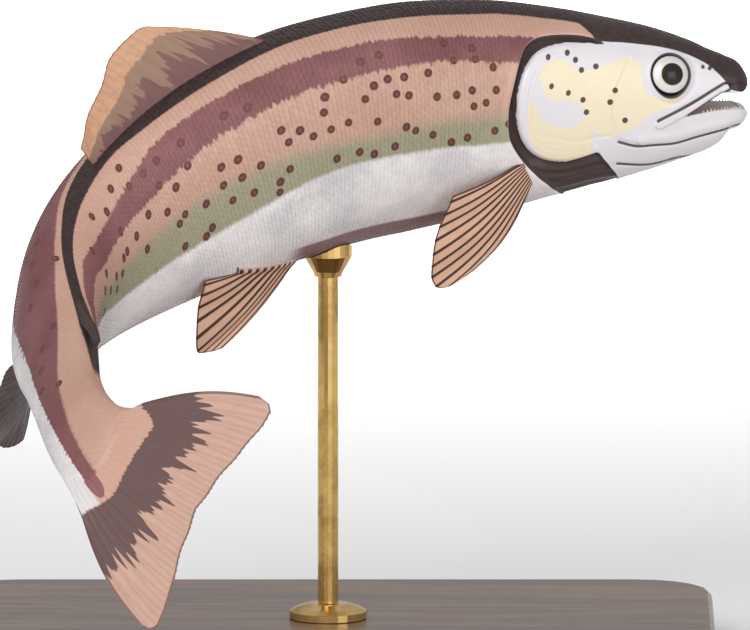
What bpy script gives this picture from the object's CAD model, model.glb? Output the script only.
"""Looks of a life-size rainbow trout that leaps over a plain display stand.

The skin, the scales and the fins are made in body coordinates, in metres:
`along` from the snout tip to the tail, `side` to the fish's right and `up` to
its back. The posture then carries every point into the leap. `turn` goes
round the body: 0 at the back, a quarter turn at the right side, a half turn
at the belly.
"""

import enum
import logging
import math
from collections.abc import Callable, Sequence
from dataclasses import dataclass, field

import bpy
import numpy as np
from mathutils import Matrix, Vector


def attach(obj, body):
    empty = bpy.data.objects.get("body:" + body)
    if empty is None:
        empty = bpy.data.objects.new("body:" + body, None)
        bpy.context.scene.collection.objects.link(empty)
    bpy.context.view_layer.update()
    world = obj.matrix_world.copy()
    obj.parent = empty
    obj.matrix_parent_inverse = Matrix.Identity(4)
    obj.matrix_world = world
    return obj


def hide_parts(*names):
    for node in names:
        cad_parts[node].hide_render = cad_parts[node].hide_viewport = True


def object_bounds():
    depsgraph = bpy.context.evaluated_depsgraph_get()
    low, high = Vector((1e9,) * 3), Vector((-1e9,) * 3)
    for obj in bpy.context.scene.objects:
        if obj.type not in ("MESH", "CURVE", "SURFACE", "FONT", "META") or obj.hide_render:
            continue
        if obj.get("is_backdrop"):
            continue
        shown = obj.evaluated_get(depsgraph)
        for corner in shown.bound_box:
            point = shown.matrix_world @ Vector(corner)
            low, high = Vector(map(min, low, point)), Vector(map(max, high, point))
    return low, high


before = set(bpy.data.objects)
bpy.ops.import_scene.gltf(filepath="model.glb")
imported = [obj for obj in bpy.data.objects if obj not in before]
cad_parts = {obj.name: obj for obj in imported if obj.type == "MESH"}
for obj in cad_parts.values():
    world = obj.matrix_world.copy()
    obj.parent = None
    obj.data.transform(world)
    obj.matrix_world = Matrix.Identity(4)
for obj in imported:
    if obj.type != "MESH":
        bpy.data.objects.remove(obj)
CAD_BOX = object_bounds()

LOG = logging.getLogger("trout")
ROOT = "root"
MM = 0.001
# places on the head: distance along, height over the axis
EYE = (0.0318, 0.0125)
NOSTRILS = ((0.0158, 0.0138), (0.0184, 0.0146))

Array = np.ndarray
Curve = Callable[[Array], Array]
Socket = bpy.types.NodeSocket
Node = bpy.types.Node
Material = bpy.types.Material
Object = bpy.types.Object
Corners = Sequence[tuple[float, float]]
Faces = list[tuple[int, ...]]
Colour = tuple[float, float, float]


class Side(enum.Enum):
    """A side of the fish, with the sign of its `side` coordinate."""

    RIGHT = 1
    LEFT = -1


# ---- numbers


def eased(stations: Sequence[float], values: Sequence[float]) -> Curve:
    """Make a smooth curve through values that doesn't overshoot them.

    Args:
        stations: rising places of the values.
        values: one value for each station.

    Returns:
        A function that reads the curve at an array of places.
    """
    xs = np.asarray(stations, dtype=float)
    ys = np.asarray(values, dtype=float)
    steps = np.diff(ys) / np.diff(xs)
    slopes = np.concatenate(([steps[0]], np.zeros(len(xs) - 2), [steps[-1]]))
    for i in range(1, len(xs) - 1):
        if steps[i - 1] * steps[i] > 0:
            slopes[i] = 2 * steps[i - 1] * steps[i] / (steps[i - 1] + steps[i])

    def curve(x: Array) -> Array:
        """Read the curve at `x`."""
        x = np.clip(x, xs[0], xs[-1])
        i = np.clip(np.searchsorted(xs, x, side="right") - 1, 0, len(xs) - 2)
        width = xs[i + 1] - xs[i]
        k = (x - xs[i]) / width
        start = (1 + 2 * k) * (1 - k) ** 2 * ys[i] + k * (1 - k) ** 2 * width * slopes[i]
        end = k**2 * (3 - 2 * k) * ys[i + 1] + k**2 * (k - 1) * width * slopes[i + 1]
        return start + end

    return curve


def read_rows(rows: Sequence[Sequence[float]], shares: Array) -> list[Array]:
    """Read each column of evenly spaced rows at shares of the way through."""
    marks = np.linspace(0, 1, len(rows))
    return [eased(marks, column)(shares) for column in zip(*rows)]


def round_turns(count: int) -> Array:
    """Return evenly spaced angles once round."""
    return np.arange(count) * 2 * math.pi / count


def unit(vectors: Array) -> Array:
    """Scale one vector, or each row of an array, to length one."""
    vectors = np.asarray(vectors, dtype=float)
    return vectors / np.maximum(np.linalg.norm(vectors, axis=-1, keepdims=True), 1e-12)


def rise(low: float, high: float, x: Array) -> Array:
    """Go smoothly from 0 at `low` to 1 at `high`; `low` may be the larger."""
    k = np.clip((np.asarray(x, dtype=float) - low) / (high - low), 0, 1)
    return k * k * (3 - 2 * k)


def hump(x: Array, width: float) -> Array:
    """Return a bell curve of height 1 that fades over `width`."""
    return np.exp(-((np.asarray(x, dtype=float) / width) ** 2))


def signed_power(value: Array, power: float) -> Array:
    """Raise a sine or cosine to a power and keep its sign."""
    return np.sign(value) * np.abs(value) ** power


def path_distance(x: Array, y: Array, path: Corners) -> Array:
    """Measure how far points lie from an open path.

    Args:
        x: first coordinates of the points.
        y: second coordinates.
        path: corners of the path.

    Returns:
        The distance of every point.
    """
    best = np.full(np.shape(x), np.inf)
    for (ax, ay), (bx, by) in zip(path, path[1:]):
        dx, dy = bx - ax, by - ay
        k = np.clip(((x - ax) * dx + (y - ay) * dy) / (dx * dx + dy * dy), 0, 1)
        best = np.minimum(best, np.hypot(x - ax - k * dx, y - ay - k * dy))
    return best


def rounded(corners: Corners, steps: int = 6) -> list[tuple[float, float]]:
    """Pass a smooth closed line through corners given in millimetres."""
    knots = np.array(corners) * MM
    k = np.linspace(0, 1, steps, endpoint=False)[:, None]
    line = []
    for i in range(len(knots)):
        a, b, c, d = (knots[(i + j) % len(knots)] for j in (-1, 0, 1, 2))
        curve = 2 * b + (c - a) * k + (2 * a - 5 * b + 4 * c - d) * k**2 + (3 * b - a - 3 * c + d) * k**3
        line += [tuple(point) for point in curve / 2]
    return line


def outline_distance(x: Array, y: Array, outline: Corners) -> Array:
    """Measure how far points lie outside a closed line; inside is negative."""
    closed = [*outline, outline[0]]
    inside = np.zeros(np.shape(x), dtype=bool)
    for (ax, ay), (bx, by) in zip(closed, closed[1:]):
        crosses = (ay > y) != (by > y)
        inside ^= crosses & (x < ax + (y - ay) * (bx - ax) / (by - ay + 1e-15))
    return np.where(inside, -1.0, 1.0) * path_distance(x, y, closed)


def linear(red: int, green: int, blue: int) -> Colour:
    """Turn a screen colour of 0 to 255 into a linear one."""
    shares = [channel / 255 for channel in (red, green, blue)]
    return tuple(c / 12.92 if c <= 0.04045 else ((c + 0.055) / 1.055) ** 2.4 for c in shares)


def add(name: str, data: bpy.types.ID, place: Sequence[float] = (0.0, 0.0, 0.0)) -> Object:
    """Put an object with a mesh, lamp or camera into the scene."""
    item = bpy.data.objects.new(name, data)
    item.location = place
    bpy.context.scene.collection.objects.link(item)
    return item


# ---- meshes


@dataclass
class Piece:
    """Points, faces and per-point fields of one mesh in the making."""

    name: str
    points: Array
    faces: Faces
    fields: dict[str, Array] = field(default_factory=dict)
    patch: Array | None = None

    def build(self, material: Material, slot: str, sharp: float = 60.0) -> Object:
        """Make the object, dress it and let it ride with the part.

        Args:
            material: finish of the whole piece.
            slot: the record's material slot that the finish stands for.
            sharp: angle in degrees over which an edge is shaded sharp.

        Returns:
            The new object.
        """
        mesh = bpy.data.meshes.new(self.name)
        mesh.from_pydata(self.points.tolist(), [], self.faces)
        mesh.materials.append(material)
        mesh.shade_smooth()
        mesh.set_sharp_from_angle(angle=math.radians(sharp))
        for name, values in self.fields.items():
            kind = "FLOAT_VECTOR" if values.ndim == 2 else "FLOAT"
            key = "vector" if values.ndim == 2 else "value"
            layer = mesh.attributes.new(name, kind, "POINT")
            layer.data.foreach_set(key, np.ascontiguousarray(values, dtype=np.float32).ravel())
        if self.patch is not None:
            corners = np.zeros(len(mesh.loops), dtype=np.int32)
            mesh.loops.foreach_get("vertex_index", corners)
            layer = mesh.uv_layers.new(name="OFBake")
            layer.data.foreach_set("uv", self.patch[corners].astype(np.float32).ravel())
        item = add(self.name, mesh)
        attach(item, ROOT)
        LOG.info("%s: %d points, %d faces", self.name, len(self.points), len(self.faces))
        return item


def grid_faces(rows: int, columns: int, closed: bool = False, flip: bool = False) -> Faces:
    """List the faces of a grid of points.

    Args:
        rows: number of rows.
        columns: number of points in a row.
        closed: whether the last column joins the first.
        flip: whether the faces look the other way.

    Returns:
        One tuple of point numbers for each face.
    """
    near = np.arange(rows - 1)[:, None] * columns + np.arange(columns if closed else columns - 1)
    step = (np.arange(columns if closed else columns - 1) + 1) % columns
    beside = np.arange(rows - 1)[:, None] * columns + step
    quads = np.stack((near, beside, beside + columns, near + columns), axis=-1).reshape(-1, 4)
    return [tuple(q) for q in (quads[:, ::-1] if flip else quads).tolist()]


def tube(rings: Array) -> tuple[Array, Faces]:
    """Close a stack of rings into a solid with a middle point at each end."""
    rows, columns = rings.shape[:2]
    points = np.concatenate((rings.reshape(-1, 3), rings[:1].mean(axis=1), rings[-1:].mean(axis=1)))
    faces = grid_faces(rows, columns, closed=True)
    last = (rows - 1) * columns
    for j in range(columns):
        k = (j + 1) % columns
        faces.append((rows * columns, k, j))
        faces.append((rows * columns + 1, last + j, last + k))
    return points, faces


def slab(middle: Array, offset: Array) -> tuple[Array, Faces]:
    """Close a thin solid whose two faces lie at an offset from a middle grid."""
    rows, columns = middle.shape[:2]
    under = rows * columns
    faces = grid_faces(rows, columns)
    faces += [tuple(under + i for i in face[::-1]) for face in faces]
    rim = list(range(columns))
    rim += [i * columns + columns - 1 for i in range(1, rows)]
    rim += [(rows - 1) * columns + j for j in range(columns - 2, -1, -1)]
    rim += [i * columns for i in range(rows - 2, 0, -1)]
    faces += [(b, a, under + a, under + b) for a, b in zip(rim, rim[1:] + rim[:1])]
    points = np.concatenate(((middle + offset).reshape(-1, 3), (middle - offset).reshape(-1, 3)))
    return points, faces


# ---- the body's form


@dataclass
class BodyForm:
    """The trout's straight body, and the posture that makes it leap."""

    length: float = 0.43
    section_power: float = 2.25
    nose_rounding: float = 0.0065
    # station, height of the back, depth of the belly, half width
    profile: tuple = (
        (0.0, 0.0326, 0.027, 0.02), (0.01, 0.0351, 0.028, 0.0219),
        (0.017, 0.038, 0.0294, 0.0234), (0.025, 0.0419, 0.04, 0.025),
        (0.039, 0.048, 0.0485, 0.029), (0.05, 0.0535, 0.0522, 0.032),
        (0.09, 0.0676, 0.065, 0.042), (0.135, 0.078, 0.0775, 0.05),
        (0.18, 0.087, 0.088, 0.055), (0.242, 0.099, 0.102, 0.058),
        (0.34, 0.109, 0.112, 0.06), (0.42, 0.109, 0.112, 0.06),
        (0.5, 0.103, 0.106, 0.058), (0.6, 0.088, 0.095, 0.0525),
        (0.7, 0.07, 0.0775, 0.0455), (0.76, 0.0595, 0.0635, 0.037),
        (0.8, 0.053, 0.0525, 0.0305), (0.85, 0.045, 0.0405, 0.025),
        (0.9, 0.039, 0.0362, 0.021), (0.96, 0.042, 0.0405, 0.012),
        (1.0, 0.054, 0.054, 0.0032),
    )
    # station, bend to the right, arch of the back, twist: degrees per length
    posture: tuple = (
        (0.14, 0, 0, 0), (0.18, 185, 20, 145), (0.26, 90, 0, 70),
        (0.34, 60, 35, -15), (0.42, 20, 105, -35), (0.5, -40, 120, -5),
        (0.58, 110, 45, 70), (0.66, 390, -85, 190), (0.74, 280, -195, 260),
        (0.82, -20, -35, 205), (0.9, 115, -35, 45), (1.0, 565, -360, -60),
    )
    spine_steps: int = 400
    heading: float = math.radians(5.9)
    roll: float = math.radians(3.2)
    saddle_station: float = 0.41
    belly_height: float = 0.164

    def __post_init__(self) -> None:
        """Work out the curves, the spine, the arc tables and the lift."""
        stations, back, belly, width = zip(*self.profile)
        self.back, self.belly, self.half_width = (self._size(stations, v) for v in (back, belly, width))
        self._spine = self._bend_spine()
        self._measure_arcs()
        self.lift = np.zeros(3)
        turns = np.linspace(math.radians(120), math.radians(240), 241)
        ring = self.pose(self.surface(self.saddle_station * self.length, turns))
        self.lift = np.array((0.0, 0.0, self.belly_height)) - ring[np.argmin(ring[:, 2])]

    def _size(self, stations: Sequence[float], shares: Sequence[float]) -> Curve:
        """Return the curve of a size along the body, rounded off at the nose."""
        curve = eased(stations, shares)

        def size(along: Array) -> Array:
            """Read the size at distances along."""
            share = np.clip(np.asarray(along) / self.nose_rounding, 0, 1)
            return curve(along / self.length) * self.length * np.sqrt(1 - (1 - share) ** 2)

        return size

    def surface(self, along: Array, turn: Array, grow: Array = 0.0) -> Array:
        """Return points of the body's surface in body coordinates.

        Args:
            along: distances behind the snout tip.
            turn: angles round the body, from the back.
            grow: how far the points lie over the surface.

        Returns:
            An array with `along`, `side` and `up` in its last axis.
        """
        values = (np.asarray(value, float) for value in (along, turn, grow))
        along, turn, grow = np.broadcast_arrays(*values)
        power = 2 / self.section_power
        height = np.where(np.cos(turn) > 0, self.back(along), self.belly(along)) + grow
        side = (self.half_width(along) + grow) * signed_power(np.sin(turn), power)
        up = height * signed_power(np.cos(turn), power)
        return np.stack((along, side, up), axis=-1)

    def normals(self, along: Array, turn: Array) -> Array:
        """Return the outward directions of the surface at those places."""
        step = 0.0006
        turn = np.asarray(turn, float)
        ahead = self.surface(np.maximum(along - step, 0), turn)
        behind = self.surface(along + step, turn)
        before = self.surface(along, turn - 0.02)
        after = self.surface(along, turn + 0.02)
        return unit(np.cross(behind - ahead, after - before))

    def turn_at_height(self, along: float, up: float) -> float:
        """Return the turn of the right side's surface point at a height."""
        height = self.back(along) if up > 0 else self.belly(along)
        share = np.clip(up / max(float(height), 1e-9), -1, 1)
        return math.acos(float(signed_power(share, self.section_power / 2)))

    def _bend_spine(self) -> list[Array]:
        """Return the spine's points and its tail, back and side directions."""
        steps = np.linspace(0, 1, self.spine_steps + 1)
        knots, *columns = zip(*self.posture)
        rates = [np.radians(np.interp(steps, knots, column)) for column in columns]
        tail = np.array((-math.cos(self.heading), -math.sin(self.heading), 0.0))
        upright = np.array((0.0, 0.0, 1.0))
        back = math.cos(self.roll) * upright + math.sin(self.roll) * np.cross(upright, tail)
        point = np.zeros(3)
        rows = []
        for bend, arch, twist in zip(*rates):
            right = np.cross(back, tail)
            rows.append((point, tail, back, right))
            next_tail = unit(tail + (bend * right - arch * back) / self.spine_steps)
            next_back = back + (arch * tail + twist * right) / self.spine_steps
            next_back = unit(next_back - next_tail * np.dot(next_back, next_tail))
            point = point + (tail + next_tail) / 2 * self.length / self.spine_steps
            tail, back = next_tail, next_back
        return [np.array(column) for column in zip(*rows)]

    def frames(self, along: Array) -> tuple[Array, Array, Array, Array]:
        """Return the spine's point, tail, back and right directions."""
        share = np.asarray(along, dtype=float) / self.length
        index = np.clip(share, 0, 1) * self.spine_steps
        marks = np.arange(self.spine_steps + 1)
        point, tail, back = (
            np.stack([np.interp(index, marks, table[:, k]) for k in range(3)], axis=-1)
            for table in self._spine[:3]
        )
        tail = unit(tail)
        back = unit(back - tail * np.sum(back * tail, axis=-1, keepdims=True))
        beyond = (share - np.clip(share, 0, 1)) * self.length
        return point + beyond[..., None] * tail, tail, back, np.cross(back, tail)

    def pose(self, points: Array) -> Array:
        """Carry body coordinates to their place over the stand."""
        points = np.asarray(points, dtype=float)
        centre, _, back, right = self.frames(points[..., 0])
        return centre + points[..., 1:2] * right + points[..., 2:3] * back + self.lift

    def pose_stiff(self, points: Array, along: float) -> Array:
        """Carry body coordinates to their place without bending them."""
        centre, tail, back, right = self.frames(along)
        behind, side, up = np.split(points - np.array((along, 0, 0)), 3, axis=-1)
        return centre + behind * tail + side * right + up * back + self.lift

    def _measure_arcs(self) -> None:
        """Tabulate the arc from the back to each turn, and its inverse."""
        self._arc_along = np.linspace(0.004, self.length, 160)
        self._arc_turns = np.linspace(0, math.pi, 181)
        ring = self.surface(self._arc_along[:, None], self._arc_turns[None, :])
        pieces = np.linalg.norm(np.diff(ring, axis=1), axis=-1)
        self._arcs = np.concatenate((np.zeros((len(ring), 1)), np.cumsum(pieces, axis=1)), axis=1)
        self._shares = np.linspace(0, 1, 121)
        self._turn_table = np.array(
            [np.interp(self._shares * row[-1], row, self._arc_turns) for row in self._arcs]
        )

    def _read(self, table: Array, marks: Array, along: Array, value: Array) -> Array:
        """Read a table of stations and marks between its entries."""
        i = np.interp(along, self._arc_along, np.arange(len(self._arc_along)))
        j = np.interp(value, marks, np.arange(len(marks)))
        i0 = np.clip(i.astype(int), 0, table.shape[0] - 2)
        j0 = np.clip(j.astype(int), 0, table.shape[1] - 2)
        di, dj = i - i0, j - j0
        near = table[i0, j0] * (1 - dj) + table[i0, j0 + 1] * dj
        far = table[i0 + 1, j0] * (1 - dj) + table[i0 + 1, j0 + 1] * dj
        return near * (1 - di) + far * di

    def arc(self, along: Array, turn: Array) -> Array:
        """Return the distance round the body from the back, in metres."""
        folded = np.abs((np.asarray(turn) + math.pi) % (2 * math.pi) - math.pi)
        along, folded = np.broadcast_arrays(np.asarray(along, float), folded)
        return self._read(self._arcs, self._arc_turns, along, folded)

    def girth_half(self, along: Array) -> Array:
        """Return half of the distance round the body."""
        return np.interp(along, self._arc_along, self._arcs[:, -1])

    def turn_at_share(self, along: Array, share: Array) -> Array:
        """Return the turn at a share of the way from the back to the belly."""
        along, share = np.broadcast_arrays(np.asarray(along, float), np.asarray(share, float))
        return self._read(self._turn_table, self._shares, along, share)


# station, then shares of the half turn at which the dark back ends, the red
# stripe begins and ends, and the olive shade and the white begin
NECK_ROWS = (
    (0.14, 0.245, 0.29, 0.345, 0.475, 0.56), (0.148, 0.19, 0.25, 0.342, 0.475, 0.56),
    (0.158, 0.132, 0.232, 0.34, 0.475, 0.558), (0.2, 0.113, 0.225, 0.33, 0.475, 0.555),
)


@dataclass
class BandPlan:
    """Where the bands of colour run, and the fields that paint them.

    The mark is a height round the body, 0 on the back and 1 on the belly. It
    passes a fixed value at each edge of a band, wherever that edge runs.
    """

    form: BodyForm
    marks: tuple = (0.0, 0.15, 0.27, 0.4, 0.53, 0.6, 1.0)
    right_rows: tuple = (
        *NECK_ROWS,
        (0.24, 0.092, 0.212, 0.312, 0.475, 0.54), (0.31, 0.08, 0.188, 0.28, 0.465, 0.521),
        (0.38, 0.066, 0.167, 0.283, 0.472, 0.517), (0.46, 0.082, 0.172, 0.293, 0.462, 0.532),
        (0.52, 0.096, 0.174, 0.312, 0.454, 0.556), (0.565, 0.084, 0.174, 0.328, 0.456, 0.562),
        (0.6, 0.058, 0.212, 0.343, 0.457, 0.562), (0.64, 0.05, 0.233, 0.334, 0.452, 0.556),
        (0.7, 0.026, 0.176, 0.298, 0.41, 0.522), (0.74, 0.016, 0.08, 0.215, 0.35, 0.476),
        (0.78, 0.024, 0.06, 0.18, 0.32, 0.46), (0.83, 0.12, 0.18, 0.29, 0.43, 0.52),
        (0.87, 0.19, 0.28, 0.4, 0.49, 0.56), (0.9, 0.06, 0.35, 0.47, 0.52, 0.6),
        (1.0, 0.02, 0.56, 0.64, 0.665, 0.692),
    )
    left_rows: tuple = (
        *NECK_ROWS,
        (0.31, 0.08, 0.195, 0.3, 0.47, 0.525), (0.46, 0.065, 0.19, 0.32, 0.488, 0.524),
        (0.58, 0.075, 0.13, 0.4, 0.5, 0.53), (0.66, 0.055, 0.087, 0.47, 0.515, 0.54),
        (0.7, 0.038, 0.07, 0.49, 0.525, 0.545), (0.74, 0.044, 0.098, 0.495, 0.53, 0.548),
        (0.793, 0.064, 0.205, 0.505, 0.535, 0.555), (0.83, 0.074, 0.287, 0.525, 0.557, 0.577),
        (0.854, 0.045, 0.342, 0.545, 0.577, 0.597), (0.89, 0.01, 0.418, 0.565, 0.597, 0.617),
        (0.92, 0.005, 0.468, 0.567, 0.599, 0.619), (0.95, 0.004, 0.517, 0.585, 0.617, 0.637),
        (0.975, 0.004, 0.565, 0.612, 0.645, 0.665), (1.0, 0.003, 0.612, 0.642, 0.674, 0.692),
    )
    # lower edge of the dark crown: distance along, height over the axis
    crown_rows: tuple = (
        (0.0, 0.002), (0.0031, 0.0037), (0.0085, 0.0054), (0.01, 0.0084),
        (0.0141, 0.013), (0.0197, 0.017), (0.0276, 0.0205), (0.0399, 0.0236),
        (0.0498, 0.0252), (0.06, 0.0264), (0.064, 0.03), (0.068, 0.033),
        (0.095, 0.039),
    )

    def __post_init__(self) -> None:
        """Make the curves."""
        self._edges = {}
        for side, rows in ((Side.RIGHT, self.right_rows), (Side.LEFT, self.left_rows)):
            station, *shares = zip(*rows)
            self._edges[side] = [eased(station, column) for column in shares]
        self._crown = eased(*zip(*self.crown_rows))

    def _mark(self, side: Side, station: Array, share: Array) -> Array:
        """Return the mark of places on one side, from their share of the half turn."""
        edges = [0.0 * share, *(curve(station) for curve in self._edges[side]), 0.0 * share + 1.0]
        mark = 0.0 * share
        for low, high, start, end in zip(edges, edges[1:], self.marks, self.marks[1:]):
            mark = mark + (end - start) * np.clip((share - low) / np.maximum(high - low, 1e-6), 0, 1)
        return mark

    def fields(self, along: Array, turn: Array, up: Array) -> dict[str, Array]:
        """Return the fields that the skin's and the coat's finish read.

        Args:
            along: distances behind the snout tip.
            turn: angles round the body.
            up: heights over the axis.

        Returns:
            `place` (along, signed arc round the body, height) and `marks`
            (station, mark, height over the crown's edge).
        """
        folded = (np.asarray(turn) + math.pi) % (2 * math.pi) - math.pi
        share = np.abs(folded) / math.pi
        station = along / self.form.length
        right, left = (self._mark(side, station, share) for side in (Side.RIGHT, Side.LEFT))
        mark = np.where(folded >= 0, right, left)
        arc = self.form.arc(along, turn) * np.sign(folded + 1e-9)
        place = np.stack((along, arc, up), axis=-1)
        marks = np.stack((station, mark, (up - self._crown(along)) / 0.01), axis=-1)
        return {"place": place, "marks": marks}


@dataclass(frozen=True)
class GillCover:
    """Outline of the gill cover, and of the dark gap and membranes round it."""

    # corners in millimetres: distance along, height over the axis
    plate_corners: tuple = (
        (50.0, 23.0), (60.0, 25.3), (67.6, 26.4), (77.4, 27.2), (86.6, 26.2), (92.8, 21.5),
        (96.4, 14.6), (97.7, 5.6), (96.4, -3.8), (92.1, -11.9), (84.8, -17.4), (74.9, -20.1),
        (66.3, -19.1), (60.2, -17.5), (50.0, -15.0), (46.0, 4.0),
    )
    gap_corners: tuple = (
        (57.4, 24.9), (64.5, 28.0), (74.9, 29.8), (84.2, 30.7), (90.3, 29.8), (94.4, 26.5), (98.4, 17.7),
        (101.6, 6.9), (101.5, -3.2), (99.3, -9.2), (94.0, -16.8), (86.6, -24.6), (78.6, -31.6),
        (71.0, -38.0), (64.0, -48.0), (42.0, -48.0), (49.0, -34.0), (52.2, -27.6), (59.6, -17.9),
        (62.0, -14.6), (52.0, -8.0), (50.0, 12.0),
    )
    front: float = 0.0605

    def plate(self, along: Array, up: Array) -> Array:
        """Return how far points lie outside the gill cover."""
        return outline_distance(along, up, rounded(self.plate_corners))

    def gap(self, along: Array, up: Array) -> Array:
        """Return how far points lie outside the dark gap behind the cover."""
        return outline_distance(along, up, rounded(self.gap_corners))

    def behind(self, along: Array, up: Array) -> Array:
        """Return how far points lie behind the head; on the head is negative."""
        return np.minimum(self.gap(along, up), along - self.front)


# ---- node trees


class Value:
    """A socket of a shader tree that takes part in plain arithmetic."""

    def __init__(self, graph: "Graph", socket: Socket) -> None:
        """Take the socket and the graph that it belongs to."""
        self.graph, self.socket = graph, socket

    def __add__(self, other: object) -> "Value":
        """Add a Math node that adds."""
        return self.graph.math("ADD", self, other)

    def __sub__(self, other: object) -> "Value":
        """Add a Math node that takes away."""
        return self.graph.math("SUBTRACT", self, other)

    def __rsub__(self, other: object) -> "Value":
        """Add a Math node that takes this value away from a number."""
        return self.graph.math("SUBTRACT", other, self)

    def __mul__(self, other: object) -> "Value":
        """Add a Math node that multiplies."""
        return self.graph.math("MULTIPLY", self, other)

    def __truediv__(self, other: object) -> "Value":
        """Add a Math node that divides."""
        return self.graph.math("DIVIDE", self, other)

    def __pow__(self, other: object) -> "Value":
        """Add a Math node that raises to a power."""
        return self.graph.math("POWER", self, other)

    def __abs__(self) -> "Value":
        """Add a Math node that drops the sign."""
        return self.graph.math("ABSOLUTE", self)


class Graph:
    """A shader tree with short calls that make and link its nodes."""

    def __init__(self, tree: bpy.types.NodeTree) -> None:
        """Take the tree to work in."""
        self.tree = tree

    def node(self, kind: str, **settings: object) -> Node:
        """Add a node of a kind and set its properties."""
        made = self.tree.nodes.new(kind)
        for name, value in settings.items():
            setattr(made, name, value)
        return made

    def feed(self, socket: Socket, value: object) -> None:
        """Link a socket to a value's own, or set what it holds."""
        if isinstance(value, Value):
            self.tree.links.new(value.socket, socket)
        elif isinstance(value, tuple) and len(value) == 3 and socket.type == "RGBA":
            socket.default_value = (*value, 1.0)
        else:
            socket.default_value = value

    def fill(self, node: Node, **values: object) -> None:
        """Feed a node's sockets by name, with _ for a space."""
        for name, value in values.items():
            self.feed(node.inputs[name.replace("_", " ")], value)

    def named(self, node: Node) -> dict[str, Value]:
        """Return a node's outputs by name."""
        return {socket.name: Value(self, socket) for socket in node.outputs}

    def math(self, operation: str, *values: object) -> Value:
        """Add a Math node over values or numbers."""
        made = self.node("ShaderNodeMath", operation=operation)
        for socket, value in zip(made.inputs, values):
            self.feed(socket, value)
        return Value(self, made.outputs[0])

    def most(self, *values: object) -> Value:
        """Return the larger of two values."""
        return self.math("MAXIMUM", *values)

    def vector(self, operation: str, *values: object) -> Value:
        """Add a Vector Math node."""
        made = self.node("ShaderNodeVectorMath", operation=operation)
        for socket, value in zip(made.inputs, values):
            self.feed(socket, value)
        return Value(self, made.outputs[1 if operation in ("LENGTH", "DISTANCE") else 0])

    def step(self, value: object, low: object, high: object, lo: float = 0.0, hi: float = 1.0) -> Value:
        """Go smoothly from `lo` at `low` to `hi` at `high`."""
        made = self.node("ShaderNodeMapRange", interpolation_type="SMOOTHSTEP")
        flipped = isinstance(low, float) and isinstance(high, float) and low > high
        ends = (high, low, hi, lo) if flipped else (low, high, lo, hi)
        for socket, part in zip(made.inputs, (value, *ends)):
            self.feed(socket, part)
        return Value(self, made.outputs[0])

    def mix(self, share: object, first: object, second: object, blend: str = "MIX") -> Value:
        """Blend two colours."""
        made = self.node("ShaderNodeMix", data_type="RGBA", blend_type=blend)
        for index, value in ((0, share), (6, first), (7, second)):
            self.feed(made.inputs[index], value)
        return Value(self, made.outputs[2])

    def split(self, vector: Value) -> list[Value]:
        """Return the three parts of a vector."""
        made = self.node("ShaderNodeSeparateXYZ")
        self.feed(made.inputs[0], vector)
        return list(self.named(made).values())

    def join(self, x: object, y: object, z: object = 0.0) -> Value:
        """Make a vector of three parts."""
        made = self.node("ShaderNodeCombineXYZ")
        self.fill(made, X=x, Y=y, Z=z)
        return Value(self, made.outputs[0])

    def noise(self, vector: object, scale: float, detail: float = 3.0, rough: float = 0.5) -> Value:
        """Return a cloudy value of 0 to 1 over a vector in metres."""
        made = self.node("ShaderNodeTexNoise")
        self.fill(made, Vector=vector, Scale=scale, Detail=detail, Roughness=rough)
        return self.named(made)["Fac"]

    def cells(self, vector: object, scale: float, even: float = 1.0,
              flat: bool = False) -> dict[str, Value]:
        """Return what a Voronoi node says over a vector in metres."""
        made = self.node("ShaderNodeTexVoronoi", voronoi_dimensions="2D" if flat else "3D")
        self.fill(made, Vector=vector, Scale=scale, Randomness=even)
        return self.named(made)

    def field(self, name: str, kind: str = "Vector") -> Value:
        """Read a field of the mesh."""
        return self.named(self.node("ShaderNodeAttribute", attribute_name=name))[kind]

    def bumps(self, height: Value, depth: float, strength: float = 1.0) -> Value:
        """Turn a height into a normal; `depth` is in metres."""
        made = self.node("ShaderNodeBump")
        self.fill(made, Strength=strength, Distance=depth, Height=height)
        return Value(self, made.outputs[0])

    def group(self, tree: bpy.types.NodeTree, **values: object) -> dict[str, Value]:
        """Place a group and return its outputs by name."""
        made = self.node("ShaderNodeGroup", node_tree=tree)
        self.fill(made, **values)
        return self.named(made)


class GroupMaker:
    """Base of the shared effects: a node group with named sockets."""

    name: str = ""
    inputs: tuple[tuple[str, str, object], ...] = ()
    outputs: tuple[tuple[str, str], ...] = ()
    _made: dict[str, bpy.types.NodeTree] = {}

    @classmethod
    def tree(cls) -> bpy.types.NodeTree:
        """Return the group, made on its first use."""
        if cls.name not in GroupMaker._made:
            made = bpy.data.node_groups.new(cls.name, "ShaderNodeTree")
            for name, kind, value in cls.inputs:
                socket = made.interface.new_socket(name=name, in_out="INPUT", socket_type=kind)
                if value is not None:
                    socket.default_value = value
            for name, kind in cls.outputs:
                made.interface.new_socket(name=name, in_out="OUTPUT", socket_type=kind)
            graph = Graph(made)
            given = graph.named(graph.node("NodeGroupInput"))
            graph.fill(graph.node("NodeGroupOutput"), **cls.wire(graph, given))
            GroupMaker._made[cls.name] = made
        return GroupMaker._made[cls.name]

    @classmethod
    def wire(cls, graph: Graph, given: dict[str, Value]) -> dict[str, Value]:
        """Wire the group and return its outputs by name."""
        raise NotImplementedError


def principled(name: str, **values: object) -> tuple[Material, Graph, Node]:
    """Make a material with one Principled shader.

    Args:
        name: name of the material.
        values: numbers and colours for the shader's own sockets, with _ for
            a space.

    Returns:
        The material, its graph and its shader node.
    """
    material = bpy.data.materials.new(name)
    material.use_nodes = True
    graph = Graph(material.node_tree)
    shader = material.node_tree.nodes["Principled BSDF"]
    graph.fill(shader, **values)
    return material, graph, shader


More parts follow.
